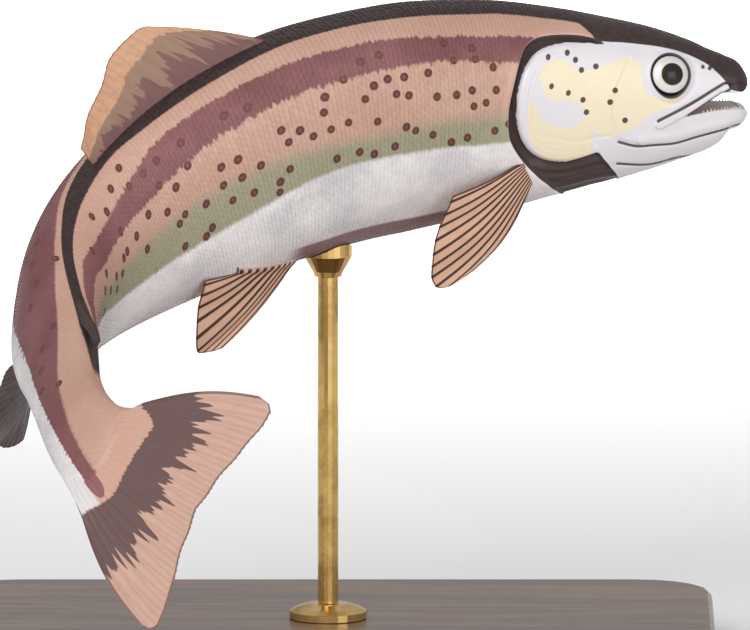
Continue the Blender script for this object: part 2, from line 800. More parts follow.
class Finish:
    """Base of the finishes: one Principled shader with its sockets fed."""

    gloss = {}

    def sockets(self, graph: Graph) -> dict[str, Value]:
        """Wire the tree and return what feeds the shader's sockets."""
        raise NotImplementedError

    def make(self) -> Material:
        """Make the material."""
        material, graph, shader = principled(self.name, **self.gloss)
        graph.fill(shader, **self.sockets(graph))
        return material


VECTOR, FLOAT, COLOUR = "NodeSocketVector", "NodeSocketFloat", "NodeSocketColor"


class TroutMarkings(GroupMaker):
    """Bands, spots and head colours of the trout, from the body's fields."""

    name = "trout markings"
    inputs = (
        ("Place", VECTOR, None), ("Marks", VECTOR, None), ("Cover", VECTOR, None), ("Head", FLOAT, 0.0),
    )
    outputs = (("Color", COLOUR), ("Silver", FLOAT), ("Mottle", FLOAT))

    BACK = linear(67, 54, 53)
    BACK_SHADE = linear(56, 45, 44)
    SALMON = linear(203, 165, 148)
    SALMON_WARM = linear(197, 156, 139)
    STRIPE = linear(140, 92, 94)
    STRIPE_SHADE = linear(120, 74, 78)
    OLIVE = linear(156, 156, 130)
    BELLY = linear(242, 237, 236)
    BELLY_SHADE = linear(212, 206, 208)
    VENTRAL = linear(140, 100, 104)
    SPOT = linear(92, 50, 46)
    SPOT_HEART = linear(124, 74, 66)
    HEAD_PALE = linear(220, 216, 220)
    HEAD_CREAM = linear(233, 219, 188)
    CHEEK_SPOT = linear(70, 48, 40)
    # cheek spots: distance along and height over the axis, in millimetres
    CHEEK_SPOTS = (
        (82.5, 23.0), (73.5, 23.0), (70.0, 20.0), (67.5, 16.0), (61.5, 17.0), (81.5, 12.0),
        (73.5, 8.0), (67.0, 4.5), (65.5, -0.5), (56.0, 3.0), (54.0, 7.5), (50.0, -4.5),
    )
    CHEEK_SPOT_RADIUS = 1.15

    @classmethod
    def round_spots(cls, graph: Graph, flat: Value, density: float, even: float, girth: tuple,
                    kept: float) -> tuple[Value, dict[str, Value]]:
        """Scatter round spots.

        Args:
            graph: the tree to wire in.
            flat: places along and round the body, in metres.
            density: cells of the scatter in a metre.
            even: 0 for a square grid of spots, 1 for a free scatter.
            girth: smallest and largest radius, in cells.
            kept: share of the cells that hold a spot.

        Returns:
            The mask of the spots, and what the scatter says of its cells.
        """
        cells = graph.cells(flat, density, even=even, flat=True)
        chance, size, _ = graph.split(cells["Color"])
        edge = cells["Distance"] - graph.step(size, 0.0, 1.0, *girth)
        return graph.step(edge, 0.018, -0.018) * graph.step(chance, kept + 0.0005, kept - 0.0005), cells

    @classmethod
    def cheek_spots(cls, graph: Graph, along: Value, up: Value) -> Value:
        """Return the mask of the small dark spots on the gill cover."""
        here, mask, size = graph.join(along, up), 0.0, cls.CHEEK_SPOT_RADIUS * MM
        for spot_along, spot_up in cls.CHEEK_SPOTS:
            distance = graph.vector("DISTANCE", here, (spot_along * MM, spot_up * MM, 0.0))
            mask = graph.most(graph.step(distance, size * 1.15, size * 0.85), mask)
        return mask

    @classmethod
    def spread(cls, graph: Graph, cells: dict[str, Value]) -> Value:
        """Return whether a cell lies where the flank's spots are."""
        _, _, rank = graph.split(cells["Color"])
        along, arc, _ = graph.split(cells["Position"])
        arc = abs(arc)
        top = graph.step(along, 0.225, 0.29, 0.018, 0.005)
        foot = graph.step(along, 0.1, 0.2, 0.0602, 0.0635) - graph.step(along, 0.235, 0.345) * 0.0375
        common = graph.step(arc, 0.026, 0.036, 0.5, 1.01)
        held = graph.step(arc - top, -0.0001, 0.0001) * graph.step(arc - foot, 0.0001, -0.0001)
        held = held * graph.step(rank - common, 0.0003, -0.0003)
        return held * graph.step(along, 0.1008, 0.101) * graph.step(along, 0.3902, 0.39)

    @classmethod
    def wire(cls, graph: Graph, given: dict[str, Value]) -> dict[str, Value]:
        """Wire the markings."""
        place = given["Place"]
        station, mark, crown = graph.split(given["Marks"])
        along, arc, up = graph.split(place)
        fringe = (graph.noise(graph.join(along * 620.0, arc * 150.0), 1.0, 3.0, 0.65) - 0.5) * 0.062
        cloud = graph.noise(place, 38.0, 4.0, 0.55)
        grain = graph.noise(place, 420.0, 3.0, 0.6)
        drift = (cloud - 0.5) * 0.016

        colour = graph.mix(graph.step(cloud, 0.35, 0.68), cls.SALMON, cls.SALMON_WARM)
        olive = graph.step(mark, 0.505, 0.552) * graph.step(station, 0.86, 0.7)
        colour = graph.mix(olive * 0.88, colour, cls.OLIVE)
        white = graph.mix(graph.step(cloud, 0.3, 0.75), cls.BELLY, cls.BELLY_SHADE)
        low = mark + drift + fringe * graph.step(station, 0.7, 0.8, 0.15, 0.75)
        colour = graph.mix(graph.step(low, 0.592, 0.606), colour, white)
        keel = graph.step(mark, 0.785, 0.797) * graph.step(mark, 0.99, 0.93)
        keel = keel * (graph.step(station, 0.275, 0.295) * graph.step(station, 0.48, 0.455))
        colour = graph.mix(keel * 0.92, colour, cls.VENTRAL)

        tail_left = graph.step(arc, 0.0, -0.001) * graph.step(station, 0.55, 0.62)
        upper = graph.step(mark + fringe * (1.0 - tail_left * 0.8), 0.264, 0.276)
        lower = mark + fringe * (tail_left * 2.2 + 1.0) - tail_left * 0.195
        stripe = upper * graph.step(lower, 0.406, 0.394)
        red = graph.mix(graph.step(cloud, 0.3, 0.7), cls.STRIPE, cls.STRIPE_SHADE)
        colour = graph.mix(stripe * 0.95, colour, red)

        flat = graph.join(along, arc)
        spot, cells = cls.round_spots(graph, flat, 112.0, 0.8, (0.182, 0.205), 0.88)
        strength = spot * cls.spread(graph, cells) * (0.94 - stripe * 0.35)
        heart = graph.step(cells["Distance"], 0.1, 0.04)
        colour = graph.mix(strength, colour, graph.mix(heart, cls.SPOT, cls.SPOT_HEART))

        dark = graph.step(mark + drift + fringe * 0.2, 0.158, 0.142) * graph.step(station, 0.905, 0.885)
        night = graph.mix(graph.step(grain, 0.35, 0.7), cls.BACK, cls.BACK_SHADE)
        colour = graph.mix(dark, colour, night)
        speck, _ = cls.round_spots(graph, flat, 260.0, 0.9, (0.1, 0.24), 0.45)
        hush = graph.step(mark, 0.17, 0.05) * graph.step(station, 0.15, 0.3)
        colour = graph.mix(speck * hush * 0.55, colour, cls.BACK_SHADE)

        wisp = (graph.noise(place, 160.0, 4.0, 0.6) - 0.5) * 3.2
        _, _, inside = graph.split(given["Cover"])
        cream = graph.step(inside + wisp, -0.45, 0.55)
        face = graph.mix(cream * 0.95, cls.HEAD_PALE, cls.HEAD_CREAM)
        face = graph.mix(graph.step(grain, 0.45, 0.75) * 0.14, face, cls.BELLY_SHADE)
        face = graph.mix(graph.step(crown + (cloud - 0.5) * 0.05, -0.022, 0.022), face, night)
        face = graph.mix(cls.cheek_spots(graph, along, up) * 0.95, face, cls.CHEEK_SPOT)
        colour = graph.mix(given["Head"], colour, face)
        return {"Color": colour, "Silver": 1.0 - graph.most(dark, stripe * 0.3), "Mottle": grain}


@dataclass(frozen=True)
class WetSkin(Finish):
    """Finish of the smooth wet skin: head, throat and what scales cover."""

    groove: Colour = linear(72, 58, 56)
    line: Colour = linear(64, 50, 48)
    mouth: Colour = linear(222, 168, 160)
    throat: Colour = linear(120, 52, 52)
    # where the bone's upper and lower stroke and the jaw's strokes run
    stroke_ends: tuple = ((0.0092, 0.0375), (0.008, 0.0252), (0.0005, 0.0528))

    name = "wet skin"
    gloss = dict(Coat_Weight=0.18, Coat_Roughness=0.15, IOR=1.25, Subsurface_Weight=0.05,
                 Subsurface_Scale=0.004, Subsurface_Radius=(1.0, 0.4, 0.3))

    def sockets(self, graph: Graph) -> dict[str, Value]:
        """Wire the tree."""
        place, cover = graph.field("place"), graph.field("cover")
        inside = graph.field("mouth", "Fac")
        markings = graph.group(TroutMarkings.tree(), Place=place, Marks=graph.field("marks"), Cover=cover,
                               Head=graph.field("head", "Fac"))
        plate, gap, _ = graph.split(cover)
        slit = graph.step(plate, -0.12, 0.12) * graph.step(gap, 0.12, -0.12)
        along, _, up = graph.split(place)
        drawn = graph.step(graph.field("lid", "Fac"), 0.95, 0.7)
        for stroke, (front, rear) in zip(graph.split(graph.field("lines")), self.stroke_ends):
            length = graph.step(along, front, front + 0.0004) * graph.step(along, rear, rear - 0.0004)
            drawn = graph.most(drawn, graph.step(abs(stroke), 0.64, 0.42) * length)
        for nostril in NOSTRILS:
            hole = graph.vector("DISTANCE", graph.join(along, up), (*nostril, 0.0))
            drawn = graph.most(drawn, graph.step(hole, 0.0009, 0.0006))
        drawn = drawn * graph.step(inside, 0.03, 0.01)
        colour = graph.mix(drawn * 0.92, markings["Color"], self.line)
        colour = graph.mix(slit, colour, self.groove)
        deep = graph.mix(graph.step(inside, 0.55, 1.0), self.mouth, self.throat)
        grain = markings["Mottle"]
        pores = graph.cells(place, 900.0)["Distance"]
        return dict(
            Base_Color=graph.mix(graph.step(inside, 0.14, 0.5), colour, deep),
            Roughness=graph.step(grain, 0.2, 0.8, 0.36, 0.5),
            Metallic=markings["Silver"] * 0.1,
            Normal=graph.bumps(pores * 0.5 + grain, 0.00012, 0.35),
        )


@dataclass(frozen=True)
class WetScales(Finish):
    """Finish of the scale coat: the skin's markings with a pearly gloss."""

    shine: tuple = (0.04, 0.16)

    name = "wet scales"
    gloss = dict(Coat_Weight=0.12, Coat_Roughness=0.18, IOR=1.25)

    def sockets(self, graph: Graph) -> dict[str, Value]:
        """Wire the tree."""
        place, marks = graph.field("place"), graph.field("marks")
        markings = graph.group(TroutMarkings.tree(), Place=place, Marks=marks)
        chance, length, _ = graph.split(graph.field("scale"))
        tone = graph.step(chance, 0.0, 1.0, 0.95, 1.04) - graph.step(length, 0.72, 1.0) * 0.07
        return dict(
            Base_Color=graph.mix(1.0, markings["Color"], graph.join(tone, tone, tone), "MULTIPLY"),
            Metallic=markings["Silver"] * graph.step(chance, 0.0, 1.0, *self.shine),
            Roughness=graph.step(markings["Mottle"], 0.2, 0.8, 0.35, 0.5),
            Normal=graph.bumps(graph.math("SINE", length * 46.0), 0.00003, 0.25),
        )


# ---- head and skin


@dataclass
class HeadRelief:
    """Lids, bones, grooves and openings that shape the head's surface."""

    form: BodyForm
    orbit: float = 0.0077
    eye_end: float = 0.05
    brow: float = 0.024
    nostril_radii: tuple = (0.00075, 0.00085)
    lid_point: float = 0.0011
    cover: GillCover = field(default_factory=GillCover)
    slit_depth: float = 0.003
    bone_top: tuple = ((0.0104, 0.0078), (0.024, 0.0005), (0.0375, -0.0057))
    bone_foot: tuple = ((0.0086, 0.0052), (0.0203, -0.0012), (0.0252, -0.0042))
    jaw_line: tuple = (
        (0.003, -0.0096), (0.0055, -0.0102), (0.0197, -0.0131), (0.0319, -0.0156),
        (0.0436, -0.0156), (0.0528, -0.0132),
    )
    bone_ridge: tuple = ((0.0095, 0.0064), (0.0222, -0.0004), (0.0362, -0.007))
    cover_seam: tuple = ((0.056, -0.0105), (0.07, -0.012), (0.088, -0.006))
    throat_line: tuple = ((0.027, -0.022), (0.0393, -0.0244), (0.0522, -0.0228))
    cheek_line: tuple = (
        (0.048, 0.019), (0.0535, 0.008), (0.0548, -0.003), (0.052, -0.0125), (0.044, -0.015),
    )

    def __post_init__(self) -> None:
        """Find the eye's middle on the surface."""
        self.eye_point = self.form.surface(EYE[0], self.form.turn_at_height(*EYE))

    @staticmethod
    def stroke(path: Corners, along: Array, up: Array) -> Array:
        """Return how far points lie over a stroke that runs back along the head."""
        line = eased(*zip(*path))
        slope = (line(along + 0.0005) - line(along - 0.0005)) / MM
        return (up - line(along)) / np.sqrt(1 + slope**2)

    def shape(self, points: Array, turn: Array) -> tuple[Array, Array, Array]:
        """Work out the relief over straight points of the head.

        Args:
            points: surface points in body coordinates.
            turn: their turns.

        Returns:
            How far each point moves outwards, and the distances in
            millimetres over the bone's and the jaw's strokes and round the lids.
        """
        along, side, up = points[..., 0], np.abs(points[..., 1]), points[..., 2]
        lateral = rise(0.15, 0.45, np.abs(np.sin(turn)))
        lift = np.zeros(along.shape)

        # the eye's socket, its lids, and the brow
        away = np.stack((along, side, up), axis=-1) - self.eye_point
        reach = np.linalg.norm(away, axis=-1)
        downward = np.clip(-away[..., 2] / np.maximum(reach, 1e-6), 0, 1)
        rim = reach - self.orbit - self.lid_point * downward**5
        near = along < self.eye_end
        lift -= near * 0.0046 * rise(0.0003, -0.0009, rim)
        lift += near * (0.00055 * hump(rim - 0.0008, 0.0009) - 0.00022 * hump(rim - 0.003, 0.0008))
        lift += near * 0.0005 * hump(np.hypot(along - EYE[0], up - self.brow), 0.007) * lateral
        for centre, size in zip(NOSTRILS, self.nostril_radii):
            hole = np.hypot(along - centre[0], up - centre[1]) - size
            lift += lateral * 0.00035 * hump(hole - 0.0004, 0.0005)
            lift -= lateral * 0.0016 * rise(0.0, -size * 0.6, hole)

        # the bone of the upper jaw, and the grooves under the lower one
        paths = (self.bone_top, self.bone_foot, self.jaw_line, self.throat_line)
        top, foot, jaw, throat = (self.stroke(path, along, up) for path in paths)
        lines = np.stack((top, foot, np.maximum(jaw, -throat)), axis=-1)
        ridge = path_distance(along, up, self.bone_ridge) - 0.0011 - 0.0009 * rise(0.01, 0.034, along)
        bone = 0.0008 * rise(0.0003, -0.0006, ridge) - 0.0004 * hump(top, 0.0004) * (along < 0.038)
        lift += lateral * bone
        chin = (along < 0.053) * rise(0.002, 0.006, along)
        lift -= chin * (0.0006 * hump(jaw, 0.0006) + 0.0005 * hump(throat, 0.0006) * (along > 0.027))
        lift += 0.0005 * hump(jaw - 0.0028, 0.002) * (along < 0.045)

        # the cheek, the gill cover, and the slit with its folds
        cheek, seam = (path_distance(along, up, path) for path in (self.cheek_line, self.cover_seam))
        lift += lateral * (0.00035 * hump(cheek, 0.003) - 0.0005 * hump(cheek, 0.0006))
        lift -= lateral * 0.0003 * hump(seam, 0.0005)
        plate, gap = self.cover.plate(along, up), self.cover.gap(along, up)
        lift += 0.001 * lateral * rise(0.0003, -0.0022, plate) * rise(0.06, 0.078, along)
        growth = np.sin(plate / 0.0011 * math.pi) * rise(-0.014, -0.003, plate) * (plate < 0)
        lift += 0.0001 * growth * rise(0.066, 0.08, along)
        slit = rise(-0.0001, 0.0003, plate) * rise(0.0001, -0.0003, gap) * (along > 0.04)
        across = np.clip(plate / np.maximum(plate - gap, 1e-6), 0, 1)
        low = rise(-0.017, -0.021, up)
        lift -= slit * self.slit_depth * (1 - 0.65 * across) * (1 - 0.35 * low) * rise(0.0, -0.0012, gap)
        folds = 0.5 + 0.5 * np.cos(plate / 0.0019 * math.pi)
        lift += 0.0006 * folds * low * slit
        lift += 0.0004 * lateral * hump(gap - 0.001, 0.0012) * (along > 0.062)
        lid = np.where(near, rim, 1.0)
        return lift, np.clip(lines / MM, -4, 4), np.clip(lid / MM, -4, 4)


@dataclass
class Lips:
    """The ring where the outer skin turns into the mouth."""

    form: BodyForm
    # heights of the lips along the jaws, from the tip to the corner
    upper: tuple = (
        (0.0, 0.0046), (0.0005, 0.0046), (0.0018, 0.004), (0.0042, 0.0036), (0.0092, 0.0045),
        (0.013, 0.0026), (0.02, -0.0016), (0.0245, -0.004),
    )
    lower: tuple = (
        (0.0, -0.0038), (0.0005, -0.0038), (0.003, -0.0031), (0.007, -0.0028), (0.014, -0.003),
        (0.02, -0.0038), (0.0245, -0.0044),
    )
    corner: float = 0.0245
    corner_column: float = 0.58
    start: float = 0.0004
    crowding: float = 1.6
    tip_share: float = 0.06
    roll: float = 0.0007

    def line(self, share: float) -> tuple[float, float]:
        """Return the distance along and the turn of the right lips.

        Args:
            share: 0 at the tip of the upper jaw, 1 at that of the lower.

        Returns:
            Distance along and turn.
        """
        upper = share <= self.corner_column
        reach = share / self.corner_column if upper else (1 - share) / (1 - self.corner_column)
        along = self.start + (self.corner - self.start) * reach**self.crowding
        height = eased(*zip(*(self.upper if upper else self.lower)))(along)
        turn = self.form.turn_at_height(along, float(height))
        tip_turn = 0.0 if upper else math.pi
        return along, tip_turn + (turn - tip_turn) * min(1.0, reach / self.tip_share)

    def ring(self, columns: int) -> tuple[Array, Array]:
        """Return the distances along and the turns round both lips."""
        alongs, turns = [], []
        for turn in round_turns(columns):
            right = turn <= math.pi
            along, lip_turn = self.line(turn / math.pi if right else 2 - turn / math.pi)
            alongs.append(along)
            turns.append(lip_turn if right else 2 * math.pi - lip_turn)
        return np.array(alongs), np.array(turns)


@dataclass
class Skin:
    """One skin from the mouth's throat over the lips to the tail fin."""

    form: BodyForm
    plan: BandPlan
    relief: HeadRelief
    lips: Lips
    inset: float = 0.00048
    columns: int = 288
    head_rows: int = 176
    body_rows: int = 112
    mouth_rows: int = 22
    head_end: float = 0.108
    snout_reach: float = 0.0015
    ease: float = 0.6
    throat: tuple = (0.05, -0.01)
    throat_half_width: float = 0.006
    throat_half_height: float = 0.004
    roof_rise: float = 0.0035
    floor_drop: float = 0.003
    # outlines in millimetres: distance along, height over the axis
    cream_patches: tuple = (
        (
            (86, 19), (78, 21.5), (70, 17.5), (62, 16), (55, 18.5), (48, 19.5), (43.5, 16),
            (42.5, 8), (37, 3.5), (26, 4.2), (33, -0.5), (41, -3), (45, -7), (50, -9.5),
            (57, -11), (62, -9), (64, -5), (68, 2), (75, 5.5), (82, 7), (86, 13),
        ),
        (
            (91, 9), (87, 1.5), (83, -2.5), (77, -5), (70, -5.5), (65, -2.5), (63, -12),
            (64, -19), (74, -20), (84, -17), (89, -12), (92.5, -5), (93, 2),
        ),
    )
    flesh: tuple = (
        "head", "jaw_lower", "operculum_right", "operculum_left", "maxilla_right", "maxilla_left",
        "trunk_front", "trunk_middle", "trunk_rear", "tail_front", "tail_stalk",
    )

    def cream_edge(self, along: Array, up: Array) -> Array:
        """Return how far points lie outside the cream patches of the cheek."""
        return np.minimum(*(outline_distance(along, up, rounded(patch)) for patch in self.cream_patches))

    def outer_rows(self) -> tuple[Array, Array]:
        """Return the distance along and the turn of the outer grid."""
        turns = round_turns(self.columns)
        lip_along, lip_turns = self.lips.ring(self.columns)
        share = np.linspace(0, 1, self.head_rows)[:, None] ** 1.12
        ease = rise(0, 1, np.minimum(1, share / self.ease))
        start = lip_along + self.lips.roll
        head_along = start + (self.head_end - start) * share
        head_turns = lip_turns + (turns - lip_turns) * ease
        rest = np.linspace(0, 1, self.body_rows + 1)[1:, None]
        body_along = self.head_end + (self.form.length - self.head_end) * rest
        along = np.concatenate((head_along, np.broadcast_to(body_along, (self.body_rows, self.columns))))
        turn = np.concatenate((head_turns, np.broadcast_to(turns, (self.body_rows, self.columns))))
        return along, turn

    def mouth_grid(self, lip: Array, inwards: Array, rearwards: Array) -> tuple[Array, Array]:
        """Return the rolled lip and the mouth's lining, from the throat out.

        Args:
            lip: points of the lip ring.
            inwards: directions into the head at the ring.
            rearwards: directions along the outer surface at the ring.

        Returns:
            Rows of points, and how deep in the mouth each row lies.
        """
        turns = round_turns(self.columns)
        roll = self.lips.roll
        centre = lip + rearwards * roll + inwards * roll
        rows, deep = [], []
        for angle in np.linspace(math.radians(160), math.radians(18), 7):
            rows.append(centre + roll * (-rearwards * math.sin(angle) - inwards * math.cos(angle)))
            deep.append(0.1 * rise(0.3, 2.6, angle))
        inner = rows[0]
        throat = np.stack((
            np.full(self.columns, self.throat[0]),
            self.throat_half_width * np.sin(turns),
            self.throat[1] + self.throat_half_height * np.cos(turns),
        ), axis=-1)
        bow = np.where(np.cos(turns) > 0, self.roof_rise, self.floor_drop) * np.cos(turns)
        lining, depths = [], []
        for share in np.linspace(1, 0.06, self.mouth_rows):
            row = inner * (1 - share) + throat * share
            row[:, 2] += bow * math.sin(math.pi * share)
            ridges = 0.00022 * np.sin(share * 60) * rise(0.1, 0.3, share)
            row[:, 2] -= ridges * np.sign(np.cos(turns))
            lining.append(row)
            depths.append(0.12 + 0.88 * share)
        return np.array(lining + rows), np.array(depths + deep)

    def build(self, material: Material) -> Object:
        """Build the skin, and let it stand for the nodes of flesh."""
        along, turn = self.outer_rows()
        straight = self.form.surface(along, turn)
        normals = self.form.normals(along, turn)
        on_head = along < self.head_end + 0.004
        lift, lines, lid = self.relief.shape(straight, turn)
        fade = rise(self.head_end + 0.003, self.head_end - 0.003, along)
        calm = rise(0.0, 0.0022, along - along[0]) * 0.75 + 0.25
        lift = np.where(on_head, lift * fade * calm, 0.0) - self.inset
        outer = straight + normals * lift[..., None]
        outer[..., 0] -= self.snout_reach * np.clip(1 - along / 0.016, 0, 1) ** 1.5
        lip_along, lip_turns = self.lips.ring(self.columns)
        beyond = self.form.surface(lip_along + 0.0008, lip_turns)
        rearwards = unit(beyond - self.form.surface(lip_along, lip_turns))
        lip = outer[0] - rearwards * self.lips.roll
        inner, deep = self.mouth_grid(lip, -normals[0], rearwards)

        up = straight[..., 2]
        cover = self.relief.cover
        plate, gap = cover.plate(along, up), cover.gap(along, up)
        edges = np.clip(np.stack((plate, gap, -self.cream_edge(along, up)), axis=-1) / MM, -4, 4)
        head = rise(0.0003, -0.0003, cover.behind(along, up))
        fields = self.plan.fields(along, turn, up)
        grid = np.concatenate((inner, outer))

        def over(values: Array) -> Array:
            """Extend a field of the outer skin over the mouth's rows."""
            both = np.concatenate((np.repeat(values[:1], len(inner), axis=0), values))
            return both.reshape(-1, *values.shape[2:])

        points, faces = tube(self.form.pose(grid))
        outside = {**fields, "head": head, "cover": edges, "lines": lines, "lid": lid}
        table = {name: over(values) for name, values in outside.items()}
        table["mouth"] = np.concatenate((np.repeat(deep, self.columns), np.zeros(along.size)))
        for name, values in table.items():
            table[name] = np.concatenate((values, values[:1], values[-1:]))
        item = Piece("skin", points, faces, table).build(material, "pale_skin", 180.0)
        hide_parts(*self.flesh)
        return item


# ---- scales


@dataclass
class ScaleCoat:
    """Overlapping scales over the trunk and the tail, one quarter at a time."""

    form: BodyForm
    plan: BandPlan
    cover: GillCover
    rows: int = 40
    stagger: float = 0.62
    floor: float = 0.00052
    height: float = 0.0003
    overlap: float = 1.75
    breadth: float = 0.6
    start_gap: float = 0.0008
    start: float = 0.061
    end: float = 0.425
    patch_size: float = 0.003
    middle: float = 0.205
    # one scale: share of its length, height share, half width share
    tile: tuple = (
        (0.0, -0.2, 0.8), (0.42, 0.3, 1.0), (0.78, 0.78, 0.92), (1.0, 1.0, 0.46),
        (1.0, 0.35, 0.44),
    )
    across: tuple = (-1.0, -0.38, 0.38, 1.0)

    def stations(self) -> Array:
        """Return the distances along at which columns of scales are rooted."""
        along, places = self.start, []
        while along < self.end:
            spacing = float(self.form.girth_half(along)) / self.rows
            places.append(along)
            along += spacing * self.stagger
        return np.array(places)

    def roots(self, side: Side) -> tuple[Array, Array, Array]:
        """Return every scale's distance along, share round and spacing."""
        along = self.stations()
        shift = (np.arange(len(along)) % 2) * 0.5
        share = (np.arange(self.rows)[None, :] + shift[:, None] + 0.25) / self.rows
        along = np.repeat(along[:, None], self.rows, axis=1)
        keep = share < 1.0
        along, share = along[keep], share[keep]
        turn = self.form.turn_at_share(along, share) * side.value
        behind = self.cover.behind(along, self.form.surface(along, turn)[..., 2])
        keep = behind > self.start_gap
        spacing = self.form.girth_half(along) / self.rows
        return along[keep], share[keep], spacing[keep]

    def build_quarter(self, name: str, side: Side, picked: Callable[[Array], Array],
                      material: Material, seed: int) -> Object:
        """Build the scales of one side that lie on one length of the body.

        Args:
            name: name of the piece.
            side: side of the fish.
            picked: says which roots belong to the piece, from their station.
            material: finish of the scales.
            seed: start of the piece's chances.

        Returns:
            The joined mesh of scales.
        """
        found = self.roots(side)
        keep = picked(found[0])
        along, share, spacing = (values[keep] for values in found)
        count = len(along)
        chance = np.random.default_rng(seed).random((3, count))
        root, shares, space, luck, mood, tint = (
            values[:, None, None] for values in (along, share, spacing, *chance)
        )
        long, high, wide = (np.array(column)[:, None] for column in zip(*self.tile))
        across = np.array(self.across)
        local = root + space * self.stagger * self.overlap * (0.94 + 0.12 * luck) * long + 0 * across
        breadth = self.breadth / self.rows * wide * across
        turn = self.form.turn_at_share(local, np.clip(shares + breadth, 0.0, 1.0)) * side.value
        edge = self.cover.behind(along, self.form.surface(along, turn[:, 0, 1])[..., 2])
        young = rise(0.0, 0.012, edge)[:, None, None]
        tall = self.height * (0.35 + 0.65 * young) * np.clip(space / 0.0028, 0.45, 1.0)
        lift = tall * (high * (1 - 0.35 * across**2) + 0.1 * (mood - 0.5))
        points = self.form.surface(np.minimum(local, self.form.length), turn)
        normals = self.form.normals(np.minimum(local, self.form.length - 0.001), turn)
        points = points + normals * (lift - self.floor)[..., None]
        fields = self.plan.fields(local, turn, points[..., 2])
        fields["scale"] = np.stack(np.broadcast_arrays(tint, long, across), axis=-1)
        size = len(self.tile) * len(across)
        base = np.array(grid_faces(len(self.tile), len(across), flip=side is Side.RIGHT))
        faces = (base[None] + (np.arange(count) * size)[:, None, None]).reshape(-1, 4)
        root_u = 0.02 + 0.96 * root / self.form.length
        root_v = 0.5 + side.value * (0.02 + 0.46 * shares)
        half = self.patch_size / 2
        corners = np.broadcast_arrays(root_u + half * (2 * long - 1), root_v + half * across)
        patch = np.stack(corners, axis=-1)
        table = {key: values.reshape(-1, 3) for key, values in fields.items()}
        place = self.form.pose(points.reshape(-1, 3))
        piece = Piece(name, place, [tuple(f) for f in faces.tolist()], table, patch.reshape(-1, 2))
        return piece.build(material, "flank_skin", 70.0)

    def build(self, material: Material) -> list[Object]:
        """Build the whole coat in four pieces."""
        lengths = (
            ("front", lambda along: along < self.middle, 0),
            ("rear", lambda along: along >= self.middle, 10),
        )
        made = []
        for seed, side in enumerate(Side):
            for word, picked, extra in lengths:
                name = f"scales_{word}_{side.name.lower()}"
                made.append(self.build_quarter(name, side, picked, material, seed + extra))
        return made


# ---- fins


class FinRays(GroupMaker):
    """Branching rays of a fin, from a field that counts them."""

    name = "fin rays"
    inputs = (("Fan", VECTOR, None), ("Split", FLOAT, 0.45), ("Width", FLOAT, 0.1))
    outputs = (("Ray", FLOAT), ("Joint", FLOAT), ("Cloud", FLOAT))

    @classmethod
    def wire(cls, graph: Graph, given: dict[str, Value]) -> dict[str, Value]:
        """Wire the rays: each splits in two on its way to the edge."""
        across, out, _ = graph.split(given["Fan"])
        centred = abs(graph.math("FRACT", across) - 0.5)
        spread = graph.step(out, given["Split"], given["Split"] + 0.55) * 0.25
        ray = graph.step(abs(centred - spread) / given["Width"], 1.0, 0.35)
        joint = graph.step(graph.math("SINE", out * 260.0), 0.72, 0.95) * graph.step(out, 0.25, 0.5)
        cloud = graph.noise(graph.vector("MULTIPLY", given["Fan"], (0.6, 3.0, 1.0)), 3.0, 4.0, 0.6)
        return {"Ray": ray, "Joint": joint, "Cloud": cloud}


